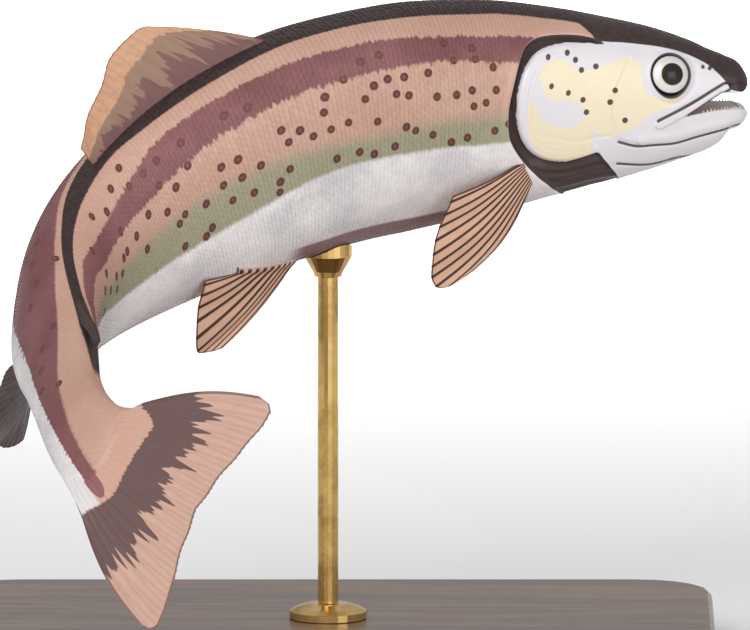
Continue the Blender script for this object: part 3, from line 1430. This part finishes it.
@dataclass(frozen=True)
class FinFinish(Finish):
    """Finish of a thin wet fin: web, rays, and marks of its own."""

    name: str
    web: Colour
    web_edge: Colour
    ray: Colour
    streak: Colour
    ray_share: float = 0.8
    widths: tuple = (0.34, 0.17)
    split: float = 0.45
    margin: float = 0.5
    foot: Colour | None = None
    foot_reach: float = 0.18
    veil: Colour | None = None
    band: bool = False
    pale_from: float = 16.0
    stripe_at: float = 14.7
    stripe_end: float = 0.245

    def streaked(self, graph: Graph, colour: Value, fan: Sequence[Value]) -> Value:
        """Lay a veil over the inner part of the fin, with darker spikes in it."""
        across, out, reach = fan
        swing = graph.noise(graph.join(across * 1.7, out * 0.8), 1.0, 3.0, 0.6) - 0.5
        colour = graph.mix(graph.step(out - (reach + swing * 0.22), 0.02, -0.02), colour, self.veil)
        spike = graph.step(out - reach * (swing * 2.6 + 0.52), 0.03, -0.03)
        return graph.mix(spike * 0.92, colour, self.streak)

    def banded(self, graph: Graph, colour: Value, fan: Sequence[Value]) -> Value:
        """Carry the flank's colours over the fin's root, up to a jagged dark band."""
        across, out, start = fan
        jag = graph.noise(graph.join(across * 0.8, 0.0), 1.0, 2.0, 0.75)
        outer = jag - 0.5 + 0.425 + start * 0.8
        nibble = graph.noise(graph.join(across * 2.2, 4.0), 1.0, 2.0, 0.6)
        flesh = graph.step(out - ((nibble - 0.5) * 0.06 + start), 0.01, -0.01)
        mask = graph.step(out - outer, 0.012, -0.012) * (1.0 - flesh)
        colour = graph.mix(mask * 0.96, colour, self.streak)
        pale = graph.step(across, self.pale_from - 0.5, self.pale_from + 0.5)
        root = graph.mix(pale, TroutMarkings.SALMON_WARM, TroutMarkings.BELLY_SHADE)
        taper = graph.math("MINIMUM", graph.most(out, 0.0) / self.stripe_end, 1.0)
        taper = (1.0 - taper**3.0) ** 0.5
        stripe = graph.step(abs(across - self.stripe_at) - taper * 1.35, 0.08, -0.08)
        return graph.mix(flesh, colour, graph.mix(stripe, root, TroutMarkings.STRIPE))

    gloss = dict(Coat_Weight=0.12, Coat_Roughness=0.15, IOR=1.28, Subsurface_Weight=0.06,
                 Subsurface_Scale=0.003, Subsurface_Radius=(1.0, 0.5, 0.3))

    def sockets(self, graph: Graph) -> dict[str, Value]:
        """Wire the tree."""
        fan = graph.field("fan")
        parts = graph.split(fan)
        out = parts[1]
        width = graph.step(out, 0.0, 0.8, *self.widths)
        rays = graph.group(FinRays.tree(), Fan=fan, Width=width, Split=self.split)
        colour = graph.mix(graph.step(rays["Cloud"], 0.3, 0.75), self.web, self.web_edge)
        if self.veil:
            colour = self.streaked(graph, colour, parts)
        ray = rays["Ray"] * self.ray_share
        if self.foot:
            colour = graph.mix(graph.step(out, 0.05, self.foot_reach, 0.95, 0.0), colour, self.foot)
            ray = ray * graph.step(out, 0.0, self.foot_reach * 0.4)
        colour = graph.mix(ray, colour, self.ray)
        colour = graph.mix(rays["Joint"] * 0.12, colour, self.web_edge)
        if self.band:
            colour = self.banded(graph, colour, parts)
        rim = graph.step(graph.field("margin", "Fac"), 0.75, 0.4, 0.0, self.margin)
        return dict(
            Base_Color=graph.mix(rim, colour, self.ray),
            Roughness=graph.step(rays["Cloud"], 0.2, 0.8, 0.34, 0.5),
            Normal=graph.bumps(rays["Ray"] - rays["Joint"] * 0.6, 0.00012, 0.4),
        )


@dataclass
class Fin:
    """A fin as a thin web over rays that stand out on both faces."""

    form: BodyForm
    name: str
    node: str
    slot: str
    rays: int
    steps: int = 44
    per_ray: int = 8
    root_thickness: float = 0.0022
    web_thickness: float = 0.0005
    ray_thickness: float = 0.00085
    fleshy: float = 0.1
    sunk: float = 0.0026
    ripple: float = 0.0005
    notch: float = 0.004
    split: float = 0.45
    margin_reach: float = 4.0

    def lines(self, shares: Array) -> tuple[Array, Array]:
        """Return the roots and the tips of lines at shares of the fin."""
        raise NotImplementedError

    def bow(self, grid: Array, shares: Array, out: Array) -> Array:
        """Shape the middle surface further; a plain fin stays as it is."""
        return grid

    def mark(self, shares: Array) -> Array:
        """Return how far out the fin's own marking ends or begins, as a share."""
        return 0.88 - 0.4 * shares

    def carry(self, points: Array) -> Array:
        """Carry straight points into the leap."""
        return self.form.pose(points)

    def ray_pattern(self, across: Array, out: Array) -> Array:
        """Return how much a ray stands out at each point, from 0 to 1."""
        cell = np.abs(across % 1.0 - 0.5)
        spread = 0.25 * rise(self.split, self.split + 0.55, out)
        return hump(np.abs(cell - spread), 0.085)

    def margins(self, grid: Array, shares: Array, out: Array) -> Array:
        """Return how far points lie inside the fin's edge, in millimetres."""
        width = np.linalg.norm(grid[:, 0] - grid[:, -1], axis=-1)[:, None]
        length = np.linalg.norm(grid[-1] - grid[0], axis=-1)[None, :]
        inside = np.minimum(np.minimum(shares, 1 - shares)[None, :] * width, (1 - out) * length) / MM
        return np.minimum(inside, self.margin_reach).ravel()

    def build(self, material: Material) -> Object:
        """Build the fin and let it stand for its node."""
        columns = self.rays * self.per_ray + 1
        shares = np.linspace(0, 1, columns)
        roots, tips = self.lines(shares)
        reach = tips - roots
        roots = roots - unit(reach) * self.sunk
        out = np.linspace(0, 1, self.steps + 1)[:, None]
        across = shares[None, :] * self.rays
        pattern = self.ray_pattern(across, out)
        edge = 1 - self.notch * (1 - self.ray_pattern(across[0], np.ones(1)))
        grid = roots + (tips - roots) * out[..., None] * edge[None, :, None]
        grid = self.bow(grid, shares, out)
        normals = unit(np.cross(np.gradient(grid, axis=1), np.gradient(grid, axis=0)))
        wave = self.ripple * np.sin(across * 1.7 + out * 3.0) * out**1.5
        grid = grid + normals * wave[..., None]
        ends = rise(0.0, 0.6 / self.rays, shares) * rise(0.0, 0.6 / self.rays, 1 - shares)
        thick = self.web_thickness + (self.ray_thickness - self.web_thickness) * pattern
        foot = self.root_thickness * np.exp(-out / self.fleshy) * (0.35 + 0.65 * ends)
        thick = thick * (1 - 0.35 * out) + foot
        points, faces = slab(grid, normals * (thick / 2)[..., None])
        fan = np.stack(np.broadcast_arrays(across, out, self.mark(shares)), axis=-1).reshape(-1, 3)
        margin = self.margins(grid, shares, out)
        fields = {"fan": np.concatenate((fan, fan)), "margin": np.concatenate((margin, margin))}
        piece = Piece(self.name, self.carry(points), faces, fields)
        item = piece.build(material, self.slot, 50.0)
        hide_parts(self.node)
        return item


@dataclass
class MidlineFin(Fin):
    """A fin on the back or on the belly's midline."""

    rows: tuple = ()
    below: bool = False
    lean: tuple = (0.0, 0.0)

    def lines(self, shares: Array) -> tuple[Array, Array]:
        """Return the roots and the tips of lines at shares of the fin."""
        root_at, tip_at, tall = read_rows(self.rows, shares)
        surface = self.form.belly if self.below else self.form.back
        sign = -1 if self.below else 1
        root_along, tip_along = root_at * self.form.length, tip_at * self.form.length
        roots = np.stack((root_along, 0 * shares, sign * surface(root_along)), axis=-1)
        (lean,) = read_rows([[value] for value in self.lean], shares)
        tips = np.stack((tip_along, lean * tall, sign * (surface(tip_along) + tall)), axis=-1)
        return roots, tips


@dataclass
class TailFin(Fin):
    """The caudal fin: two round lobes and a shallow fork."""

    edge_rows: tuple = (
        (0.0, 0.043, 0.0), (0.3, 0.045, 0.013), (0.6, 0.0485, 0.028),
        (0.84, 0.0516, 0.041), (0.92, 0.0516, 0.0455), (0.97, 0.0497, 0.0482),
        (1.0, 0.044, 0.0492),
    )
    root: float = 0.0226
    bulge: float = 0.0048

    def lines(self, shares: Array) -> tuple[Array, Array]:
        """Return the roots and the tips of lines at shares of the fin."""
        spread = 1 - 2 * shares
        marks, reach, height = zip(*self.edge_rows)
        tip_along = self.form.length + eased(marks, reach)(np.abs(spread))
        tip_up = np.sign(spread) * eased(marks, height)(np.abs(spread))
        roots = np.stack((0 * spread + self.form.length, 0 * spread, self.root * spread), axis=-1)
        return roots, np.stack((tip_along, 0 * spread, tip_up), axis=-1)

    def bow(self, grid: Array, shares: Array, out: Array) -> Array:
        """Bulge the rays apart, so that the outer ones are bent."""
        bulged = grid.copy()
        bulged[..., 2] += self.bulge * (1 - 2 * shares) * np.sin(math.pi * out)
        return bulged

    def mark(self, shares: Array) -> Array:
        """Return where the dark band begins: far out in the middle only."""
        return 0.145 + 0.175 * rise(0.0, 0.22, shares) * rise(1.0, 0.62, shares)


@dataclass
class PairedFin(Fin):
    """A pectoral or pelvic fin."""

    rows: tuple = ()
    side: Side = Side.RIGHT
    curl: float = 0.0
    climb: float = 0.0
    hug: float = 0.09
    seat: float = 0.0006
    root_lift: float = 0.0014
    smoothing: int = 6

    def lines(self, shares: Array) -> tuple[Array, Array]:
        """Return the roots and the tips of lines at shares of the fin."""
        columns = read_rows(self.rows, shares)
        self.middle = float(np.mean(columns[0]))
        roots = self.form.surface(columns[0], np.radians(columns[1]), -self.seat)
        reach = unit(np.stack(columns[2:5], axis=-1))
        tips = roots + reach * columns[5][:, None]
        self.ends = columns[0], np.radians(columns[1]), roots, tips
        return roots, tips

    def bow(self, grid: Array, shares: Array, out: Array) -> Array:
        """Bend the rays towards the front edge, and let the root hug the body."""
        along, turn, roots, tips = self.ends
        reach = unit(tips - roots)
        front = unit(reach[-1] - reach[0])
        length = np.linalg.norm(tips - roots, axis=-1)
        if self.climb:
            k = np.clip((out - self.hug) / (1 - self.hug), 0, 1)
            free = roots + (tips - roots) * k[..., None]
            up = np.radians(self.climb) * (1 - np.clip(out / self.hug, 0, 1))
            lift = -self.seat + self.root_lift * rise(0.0, self.hug, out)
            stuck = self.form.surface(along, turn - up, lift)
            grid = np.where((out < self.hug)[..., None], stuck, free)
            for _ in range(self.smoothing):
                grid[1:-1] = (grid[:-2] + 2 * grid[1:-1] + grid[2:]) / 4
        swing = self.curl * length * (0.4 + 0.6 * shares) * np.sin(math.pi * out)
        grid = grid + front * swing[..., None]
        return grid * np.array((1, self.side.value, 1))

    def carry(self, points: Array) -> Array:
        """Carry straight points into the leap, without bending the fin."""
        return self.form.pose_stiff(points, self.middle)


# ---- eyes and mouth


@dataclass(frozen=True)
class EyeFinish(Finish):
    """Finish of the eye: black pupil, thin gold ring, silver iris, clear coat."""

    pupil: Colour = linear(34, 24, 24)
    gold: Colour = linear(206, 190, 158)
    iris: Colour = linear(228, 225, 226)
    shade: Colour = linear(186, 180, 180)
    rim: Colour = linear(40, 32, 30)

    name = "eye"
    gloss = dict(Coat_Weight=0.6, Coat_Roughness=0.03, Coat_IOR=1.4, IOR=1.3, Roughness=0.35)

    def sockets(self, graph: Graph) -> dict[str, Value]:
        """Wire the tree."""
        iris = graph.field("iris")
        x, y, _ = graph.split(iris)
        reach = graph.vector("LENGTH", graph.join(x, y))
        angle = graph.math("ARCTAN2", y, x)
        fibres = graph.noise(graph.join(angle * 9.0, reach * 2.0), 1.6, 5.0, 0.7)
        mottle = graph.noise(iris, 3.2, 4.0, 0.6)
        colour = graph.mix(graph.step(mottle, 0.48, 0.72, 0.0, 0.5), self.iris, self.gold)
        colour = graph.mix(graph.step(fibres, 0.5, 0.75, 0.0, 0.4), colour, self.shade)
        colour = graph.mix(graph.step(y, 0.45, 0.9, 0.0, 0.3), colour, self.shade)
        colour = graph.mix(graph.step(reach + (fibres - 0.5) * 0.035, 0.625, 0.595), colour, self.gold)
        colour = graph.mix(graph.step(reach, 0.572, 0.556), colour, self.pupil)
        ring = graph.step(reach, 0.6, 0.64) * graph.step(reach, 1.0, 0.9)
        return dict(
            Base_Color=graph.mix(graph.step(reach, 0.925, 0.955), colour, self.rim),
            Metallic=ring * 0.15,
            Normal=graph.bumps(fibres * ring, 0.00025, 0.4),
        )


@dataclass
class Eye:
    """An eyeball with a round cornea over a flat iris."""

    form: BodyForm
    side: Side
    depth: float = 0.0017
    radii: tuple = (0.0078, 0.0076, 0.0036)
    cornea_height: float = 0.16
    cornea_width: float = 0.55
    rows: int = 40
    columns: int = 72

    def build(self, material: Material) -> Object:
        """Build the eye and let it stand for its node."""
        along, turn = EYE[0], self.form.turn_at_height(*EYE)
        spot = self.form.surface(along, turn)
        rearwards = unit(self.form.surface(along + 0.001, turn) - spot)
        outwards = unit(np.cross(rearwards, self.form.surface(along, turn + 0.01) - spot))
        upwards = np.cross(rearwards, outwards)
        middle = spot - outwards * self.depth
        polar = np.linspace(0.02, math.pi - 0.02, self.rows)[:, None]
        angle = round_turns(self.columns)[None, :]
        x, y = np.sin(polar) * np.cos(angle), np.sin(polar) * np.sin(angle)
        cornea = self.cornea_height * hump(np.hypot(x, y), self.cornea_width)
        dome = np.cos(polar) + cornea * (np.cos(polar) > 0)
        parts = np.stack((x, y, np.broadcast_to(dome, x.shape)), axis=-1)
        axes = np.stack((-rearwards, upwards, outwards)) * np.array(self.radii)[:, None]
        rings = (middle + parts @ axes) * np.array((1, self.side.value, 1))
        points, faces = tube(self.form.pose(rings))
        iris = np.concatenate((parts.reshape(-1, 3), [(0, 0, 1)], [(0, 0, -1)]))
        word = self.side.name.lower()
        item = Piece(f"eyeball_{word}", points, faces, {"iris": iris}).build(material, "eye_glass", 180.0)
        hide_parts(f"eye_{word}")
        return item


@dataclass(frozen=True)
class ToothFinish(Finish):
    """Finish of the teeth: ivory with a darker foot."""

    ivory: Colour = linear(240, 232, 208)
    foot: Colour = linear(206, 160, 140)

    name = "teeth"
    gloss = dict(Roughness=0.22, Coat_Weight=0.4, Coat_Roughness=0.08)

    def sockets(self, graph: Graph) -> dict[str, Value]:
        """Wire the tree."""
        ivory = graph.step(graph.field("height", "Fac"), 0.0, 0.45)
        return dict(Base_Color=graph.mix(ivory, self.foot, self.ivory))


@dataclass
class Teeth:
    """A row of small cones that lean backwards inside a lip."""

    form: BodyForm
    lips: Lips
    name: str
    upper: bool
    count: int = 34
    height: float = 0.0014
    radius: float = 0.00034
    inset: float = 0.0011
    hook: float = 0.0005
    levels: tuple = (0.0, 0.35, 0.7, 1.0)
    sides: int = 8

    def build(self, material: Material) -> Object:
        """Build the teeth as one joined mesh."""
        limit = self.lips.corner_column
        span = (0.02, limit * 0.86) if self.upper else (limit + (1 - limit) * 0.2, 0.98)
        shares = np.linspace(*span, self.count // 2)
        sign = -1 if self.upper else 1
        points, faces, heights = [], [], []
        angles = round_turns(self.sides)
        for i, share in enumerate(shares):
            along, turn = self.lips.line(float(share))
            lip = self.form.surface(along, turn)
            inward = -self.form.normals(np.array(along), np.array(turn))
            for side in Side:
                mirror = np.array((1, side.value, 1))
                foot = lip + inward * self.inset + np.array((0.0008, 0, -sign * 0.0004))
                tall = self.height * (0.75 + 0.35 * math.sin(i * 2.4) ** 2)
                first = len(points)
                for level in self.levels:
                    girth = self.radius * (1 - 0.92 * level**1.4)
                    bend = self.hook * level**2
                    centre = foot + np.array((bend, 0, sign * tall * level))
                    for angle in angles:
                        spoke = np.array((math.cos(angle), math.sin(angle), 0)) * girth
                        points.append((centre + spoke) * mirror)
                        heights.append(level)
                for face in grid_faces(len(self.levels), self.sides, closed=True):
                    faces.append(tuple(first + k for k in face))
                last = first + (len(self.levels) - 1) * self.sides
                faces.append(tuple(last + k for k in range(self.sides)))
        piece = Piece(self.name, self.form.pose(np.array(points)), faces, {"height": np.array(heights)})
        return piece.build(material, "pale_skin", 60.0)


@dataclass(frozen=True)
class TongueFinish(Finish):
    """Finish of the tongue: wet pink flesh with fine bumps."""

    flesh: Colour = linear(206, 138, 132)
    pale: Colour = linear(226, 182, 172)

    name = "tongue"
    gloss = dict(Coat_Weight=0.7, Coat_Roughness=0.08, Roughness=0.35, Subsurface_Weight=0.1,
                 Subsurface_Scale=0.003, Subsurface_Radius=(1.0, 0.35, 0.25))

    def sockets(self, graph: Graph) -> dict[str, Value]:
        """Wire the tree."""
        place = graph.field("place")
        cloud = graph.step(graph.noise(place, 300.0, 4.0, 0.6), 0.35, 0.7)
        bumps = graph.bumps(graph.cells(place, 1600.0)["Distance"], 0.0002, 0.5)
        return dict(Base_Color=graph.mix(cloud, self.flesh, self.pale), Normal=bumps)


@dataclass
class Tongue:
    """A flat tapering lobe with a groove, on the floor of the mouth."""

    form: BodyForm
    start: float = 0.009
    end: float = 0.034
    half_width: float = 0.0038
    thickness: float = 0.0024
    groove: float = 0.0004
    steps: int = 40
    # at the tip and at the root
    height: tuple = (-0.005, -0.0084)

    def build(self, material: Material) -> Object:
        """Build the tongue and let it stand for its node."""
        share = np.linspace(0, 1, self.steps)[:, None]
        angle = round_turns(self.steps)[None, :]
        swell = np.sqrt(np.clip(1 - (1 - share) ** 2.4, 0.02, 1))
        groove = self.groove * hump(np.sin(angle), 0.25) * (np.cos(angle) > 0) * rise(0.05, 0.3, share)
        centre = self.height[0] + (self.height[1] - self.height[0]) * share
        along = self.start + (self.end - self.start) * share
        up = centre + self.thickness / 2 * swell * np.cos(angle) - groove
        rings = np.stack(np.broadcast_arrays(along, self.half_width * swell * np.sin(angle), up), axis=-1)
        points, faces = tube(rings)
        piece = Piece("tongue_flesh", self.form.pose(points), faces, {"place": points})
        item = piece.build(material, "flesh")
        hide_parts("tongue")
        return item


# ---- the stand


@dataclass(frozen=True)
class WalnutFinish(Finish):
    """Finish of the base: lacquered walnut with long grain."""

    light: Colour = linear(122, 82, 54)
    dark: Colour = linear(62, 38, 26)
    pore: Colour = linear(36, 22, 16)

    name = "walnut"
    gloss = dict(Coat_Weight=0.35, Coat_Roughness=0.18)

    def sockets(self, graph: Graph) -> dict[str, Value]:
        """Wire the tree."""
        place = graph.named(graph.node("ShaderNodeTexCoord"))["Object"]
        long = graph.vector("MULTIPLY", place, (1.0, 7.0, 7.0))
        drift = graph.noise(long, 3.0, 3.0, 0.5)
        rings = graph.math("SINE", (graph.split(long)[1] + drift * 1.1) * 34.0)
        fine = graph.noise(graph.vector("MULTIPLY", place, (6.0, 160.0, 160.0)), 6.0, 4.0, 0.65)
        pores = graph.noise(graph.vector("MULTIPLY", place, (14.0, 420.0, 420.0)), 5.0, 2.0)
        pores = graph.step(pores, 0.6, 0.7)
        colour = graph.mix(graph.step(rings, -1.0, 1.0) * 0.55 + fine * 0.55, self.dark, self.light)
        return dict(
            Base_Color=graph.mix(pores * 0.6, colour, self.pore),
            Roughness=graph.step(fine, 0.2, 0.8, 0.3, 0.46),
            Normal=graph.bumps(fine - pores, 0.0002, 0.25),
        )


@dataclass(frozen=True)
class BrassFinish(Finish):
    """Finish of the rod and its fittings: turned, slightly worn brass."""

    bright: Colour = linear(226, 190, 120)
    dull: Colour = linear(168, 128, 70)

    name = "brass"
    gloss = dict(Metallic=1.0)

    def sockets(self, graph: Graph) -> dict[str, Value]:
        """Wire the tree."""
        place = graph.named(graph.node("ShaderNodeTexCoord"))["Object"]
        cloud = graph.noise(place, 60.0, 5.0, 0.6)
        turning = graph.noise(graph.vector("MULTIPLY", place, (30.0, 30.0, 2600.0)), 1.0, 2.0, 0.5)
        return dict(
            Base_Color=graph.mix(graph.step(cloud, 0.35, 0.75), self.bright, self.dull),
            Roughness=graph.step(cloud, 0.3, 0.8, 0.16, 0.34) + turning * 0.08,
            Normal=graph.bumps(turning, 0.00005, 0.3),
        )


@dataclass
class Stand:
    """The display stand: base, collar, rod and saddle keep their solids."""

    def dress(self, wood: Material, metal: Material) -> None:
        """Give the stand's nodes their finishes."""
        for node in ("stand_base", "stand_collar", "stand_rod", "stand_saddle"):
            for material_slot in bpy.data.objects[node].material_slots:
                material_slot.material = wood if node == "stand_base" else metal
            LOG.info("%s: dressed", node)


# ---- studio


@dataclass
class Studio:
    """Pale floor, soft light and the camera."""

    form: BodyForm
    distance: float = 10.0
    elevation: float = math.radians(8.0)
    view_width: float = 0.291
    film: float = 36.0
    sight: float = 200.0
    aim: tuple = (-0.1446, -0.0122, -0.0834)
    floor_size: float = 60.0
    floor_tone: float = 0.92
    floor_gap: float = 0.0002
    # name, place, size, power, and spread in degrees
    lamps: tuple = (
        ("key", (-0.8, -2.0, 1.3), 1.4, 30.0, 180),
        ("fill", (1.5, -1.9, 0.5), 1.6, 17.0, 180),
        ("backdrop", (0.0, 2.6, 2.2), 2.4, 60.0, 80),
    )
    lit_height: float = 0.15
    world_light: float = 0.5

    def place_camera(self) -> None:
        """Place the camera at a long distance, and make it the scene's."""
        forward = Vector((0.0, math.cos(self.elevation), -math.sin(self.elevation)))
        target = Vector(self.form.lift + np.array(self.aim))
        data = bpy.data.cameras.new("camera")
        data.sensor_width = self.film
        data.lens = self.film * self.distance / self.view_width
        data.clip_end = self.sight
        camera = add("camera", data, target - forward * self.distance)
        camera.rotation_euler = (math.pi / 2 - self.elevation, 0.0, 0.0)
        bpy.context.scene.camera = camera

    def lay_floor(self) -> None:
        """Lay the plain pale floor."""
        half = self.floor_size / 2
        corners = [(-half, -half, 0), (half, -half, 0), (half, half, 0), (-half, half, 0)]
        mesh = bpy.data.meshes.new("floor")
        mesh.from_pydata(corners, [], [(0, 1, 2, 3)])
        material, _, _ = principled("floor", Base_Color=(self.floor_tone,) * 3, Roughness=0.8)
        mesh.materials.append(material)
        floor = add("floor", mesh, (0.0, 0.0, -self.floor_gap))
        floor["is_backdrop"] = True

    def hang_lights(self) -> None:
        """Hang three soft boxes and set the pale surroundings."""
        centre = Vector((0.0, 0.0, self.lit_height))
        for name, place, size, power, spread in self.lamps:
            data = bpy.data.lights.new(name, "AREA")
            data.shape = "SQUARE"
            data.size, data.energy, data.spread = size, power, math.radians(spread)
            lamp = add(name, data, place)
            if name != "backdrop":
                lamp.rotation_euler = (centre - lamp.location).to_track_quat("-Z", "Y").to_euler()
        world = bpy.data.worlds.new("studio")
        world.use_nodes = True
        Graph(world.node_tree).fill(
            world.node_tree.nodes["Background"], Color=(1.0, 1.0, 1.0), Strength=self.world_light
        )
        bpy.context.scene.world = world
        bpy.context.scene.view_settings.view_transform = "Standard"


# ---- the fins of this fish


# midline fins: root station, tip station, height of the tip over the body
DORSAL_ROWS = (
    (0.447, 0.482, 0.0125), (0.472, 0.517, 0.025), (0.5, 0.541, 0.032), (0.53, 0.566, 0.0298),
    (0.56, 0.586, 0.0228), (0.594, 0.612, 0.0168), (0.622, 0.63, 0.0115),
)
ADIPOSE_ROWS = (
    (0.8, 0.822, 0.0022), (0.812, 0.848, 0.0046), (0.826, 0.862, 0.0048), (0.838, 0.864, 0.0024),
)
ANAL_ROWS = (
    (0.69, 0.692, 0.015), (0.712, 0.715, 0.019), (0.738, 0.75, 0.0248), (0.764, 0.79, 0.0256),
    (0.788, 0.822, 0.0155),
)
# how far the anal fin leans to the right, as a share of its height
ANAL_LEAN = (-1.75, -1.2, -0.42, -0.08, 0.28)
# paired fins: root (along, turn in degrees), direction (along, side, up), length
PECTORAL_RIGHT = (
    (0.0968, 112.0, 0.92, 0.28, -0.27, 0.03), (0.0955, 116.0, 0.86, 0.26, -0.44, 0.04),
    (0.0938, 120.5, 0.79, 0.25, -0.56, 0.05), (0.092, 126.0, 0.72, 0.24, -0.66, 0.055),
    (0.0903, 131.0, 0.6, 0.22, -0.76, 0.04),
)
PECTORAL_LEFT = (
    (0.0925, 122, 0.93, 0.36, 0.16, 0.032), (0.0915, 124, 0.95, 0.32, 0.09, 0.045),
    (0.0905, 128, 0.96, 0.28, 0.0, 0.052), (0.09, 132, 0.96, 0.24, -0.1, 0.045),
)
PELVIC_RIGHT = (
    (0.229, 140, 0.94, 0.19, 0.29, 0.0156), (0.218, 150, 0.981, 0.155, -0.106, 0.0322),
    (0.208, 158, 0.926, 0.127, -0.355, 0.0478), (0.201, 163, 0.905, 0.134, -0.404, 0.045),
)
PELVIC_LEFT = (
    (0.229, 140, 0.97, 0.28, 0.04, 0.02), (0.218, 150, 0.97, 0.26, 0.0, 0.034),
    (0.208, 158, 0.97, 0.24, -0.04, 0.045), (0.201, 163, 0.97, 0.22, -0.08, 0.046),
)
DARK_FIN = (linear(80, 66, 66), linear(70, 56, 56), linear(48, 38, 38), linear(50, 40, 40))
DORSAL_FIN = (linear(218, 170, 138), linear(206, 160, 130), linear(104, 72, 66), linear(126, 92, 92))
TAIL_FIN = (linear(200, 164, 148), linear(196, 156, 140), linear(96, 72, 68), linear(98, 76, 74))
PAIRED_FIN = (linear(216, 174, 150), linear(208, 162, 136), linear(54, 30, 24), linear(54, 30, 24))


@dataclass
class FinSet:
    """The trout's eight fins and their finishes."""

    form: BodyForm

    def midline(self) -> None:
        """Build the fins on the midline."""
        dorsal = FinFinish("dorsal fin", *DORSAL_FIN, ray_share=0.09, veil=linear(158, 130, 112)).make()
        tail = FinFinish("tail fin", *TAIL_FIN, ray_share=0.12, margin=0.75, band=True).make()
        dark = FinFinish("dark fin", *DARK_FIN, ray_share=0.5).make()
        form = self.form
        MidlineFin(form, "dorsal_fin", "fin_dorsal", "fin_web", 13, rows=DORSAL_ROWS).build(dorsal)
        MidlineFin(
            form, "adipose_fin", "fin_adipose", "back_skin", 5, rows=ADIPOSE_ROWS, steps=24, notch=0.0,
            web_thickness=0.0019, ray_thickness=0.0019, root_thickness=0.003, fleshy=0.4, ripple=0.0,
            sunk=0.002,
        ).build(dark)
        MidlineFin(
            form, "anal_fin", "fin_anal", "dark_fin_web", 11, rows=ANAL_ROWS, below=True, lean=ANAL_LEAN,
        ).build(dark)
        TailFin(
            form, "tail_fin", "fin_caudal", "fin_web", 20, steps=60, root_thickness=0.004, fleshy=0.26,
            sunk=0.01,
        ).build(tail)

    def pair(self, stem: str, finish: Material, rows: dict[Side, tuple], **sizes: float) -> None:
        """Build the right and the left fin of a pair."""
        for side in Side:
            word = side.name.lower()
            fin = PairedFin(self.form, f"{stem}_fin_{word}", f"fin_{stem}_{word}", "fin_web",
                            rows=rows[side], side=side, split=2.0, **sizes)
            fin.build(finish)

    def build(self) -> None:
        """Build every fin."""
        self.midline()
        lines = dict(split=2.0, ray_share=1.0, widths=(0.36, 0.21), margin=0.9)
        pectoral = FinFinish("pectoral fin", *PAIRED_FIN, **lines).make()
        lines.update(foot=linear(228, 198, 184), foot_reach=0.1)
        pelvic = FinFinish("pelvic fin", *PAIRED_FIN, **lines).make()
        rows = {Side.RIGHT: PECTORAL_RIGHT, Side.LEFT: PECTORAL_LEFT}
        self.pair("pectoral", pectoral, rows, rays=10, curl=0.1, climb=0.0, root_thickness=0.0022)
        rows = {Side.RIGHT: PELVIC_RIGHT, Side.LEFT: PELVIC_LEFT}
        self.pair("pelvic", pelvic, rows, rays=9, curl=0.055, climb=7.0, root_thickness=0.0006)


# ---- the whole


def write_sizes() -> None:
    """Write the CAD box and the finished model's box."""
    boxes = {"cad": CAD_BOX, "visual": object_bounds()}
    plain = {key: [[float(v) for v in corner] for corner in box] for key, box in boxes.items()}


def main() -> None:
    """Build the studio, the fish and its stand, in that order."""
    logging.basicConfig(level=logging.INFO, format="%(name)s %(message)s")
    form = BodyForm()
    plan = BandPlan(form)
    lips = Lips(form)
    studio = Studio(form)
    studio.place_camera()
    studio.lay_floor()
    studio.hang_lights()
    Skin(form, plan, HeadRelief(form), lips).build(WetSkin().make())
    ScaleCoat(form, plan, GillCover()).build(WetScales().make())
    FinSet(form).build()
    eye = EyeFinish().make()
    for side in Side:
        Eye(form, side).build(eye)
    ivory = ToothFinish().make()
    Teeth(form, lips, "teeth_upper", True).build(ivory)
    Teeth(form, lips, "teeth_lower", False).build(ivory)
    Tongue(form).build(TongueFinish().make())
    Stand().dress(WalnutFinish().make(), BrassFinish().make())
    write_sizes()


if __name__ == "__main__":
    main()
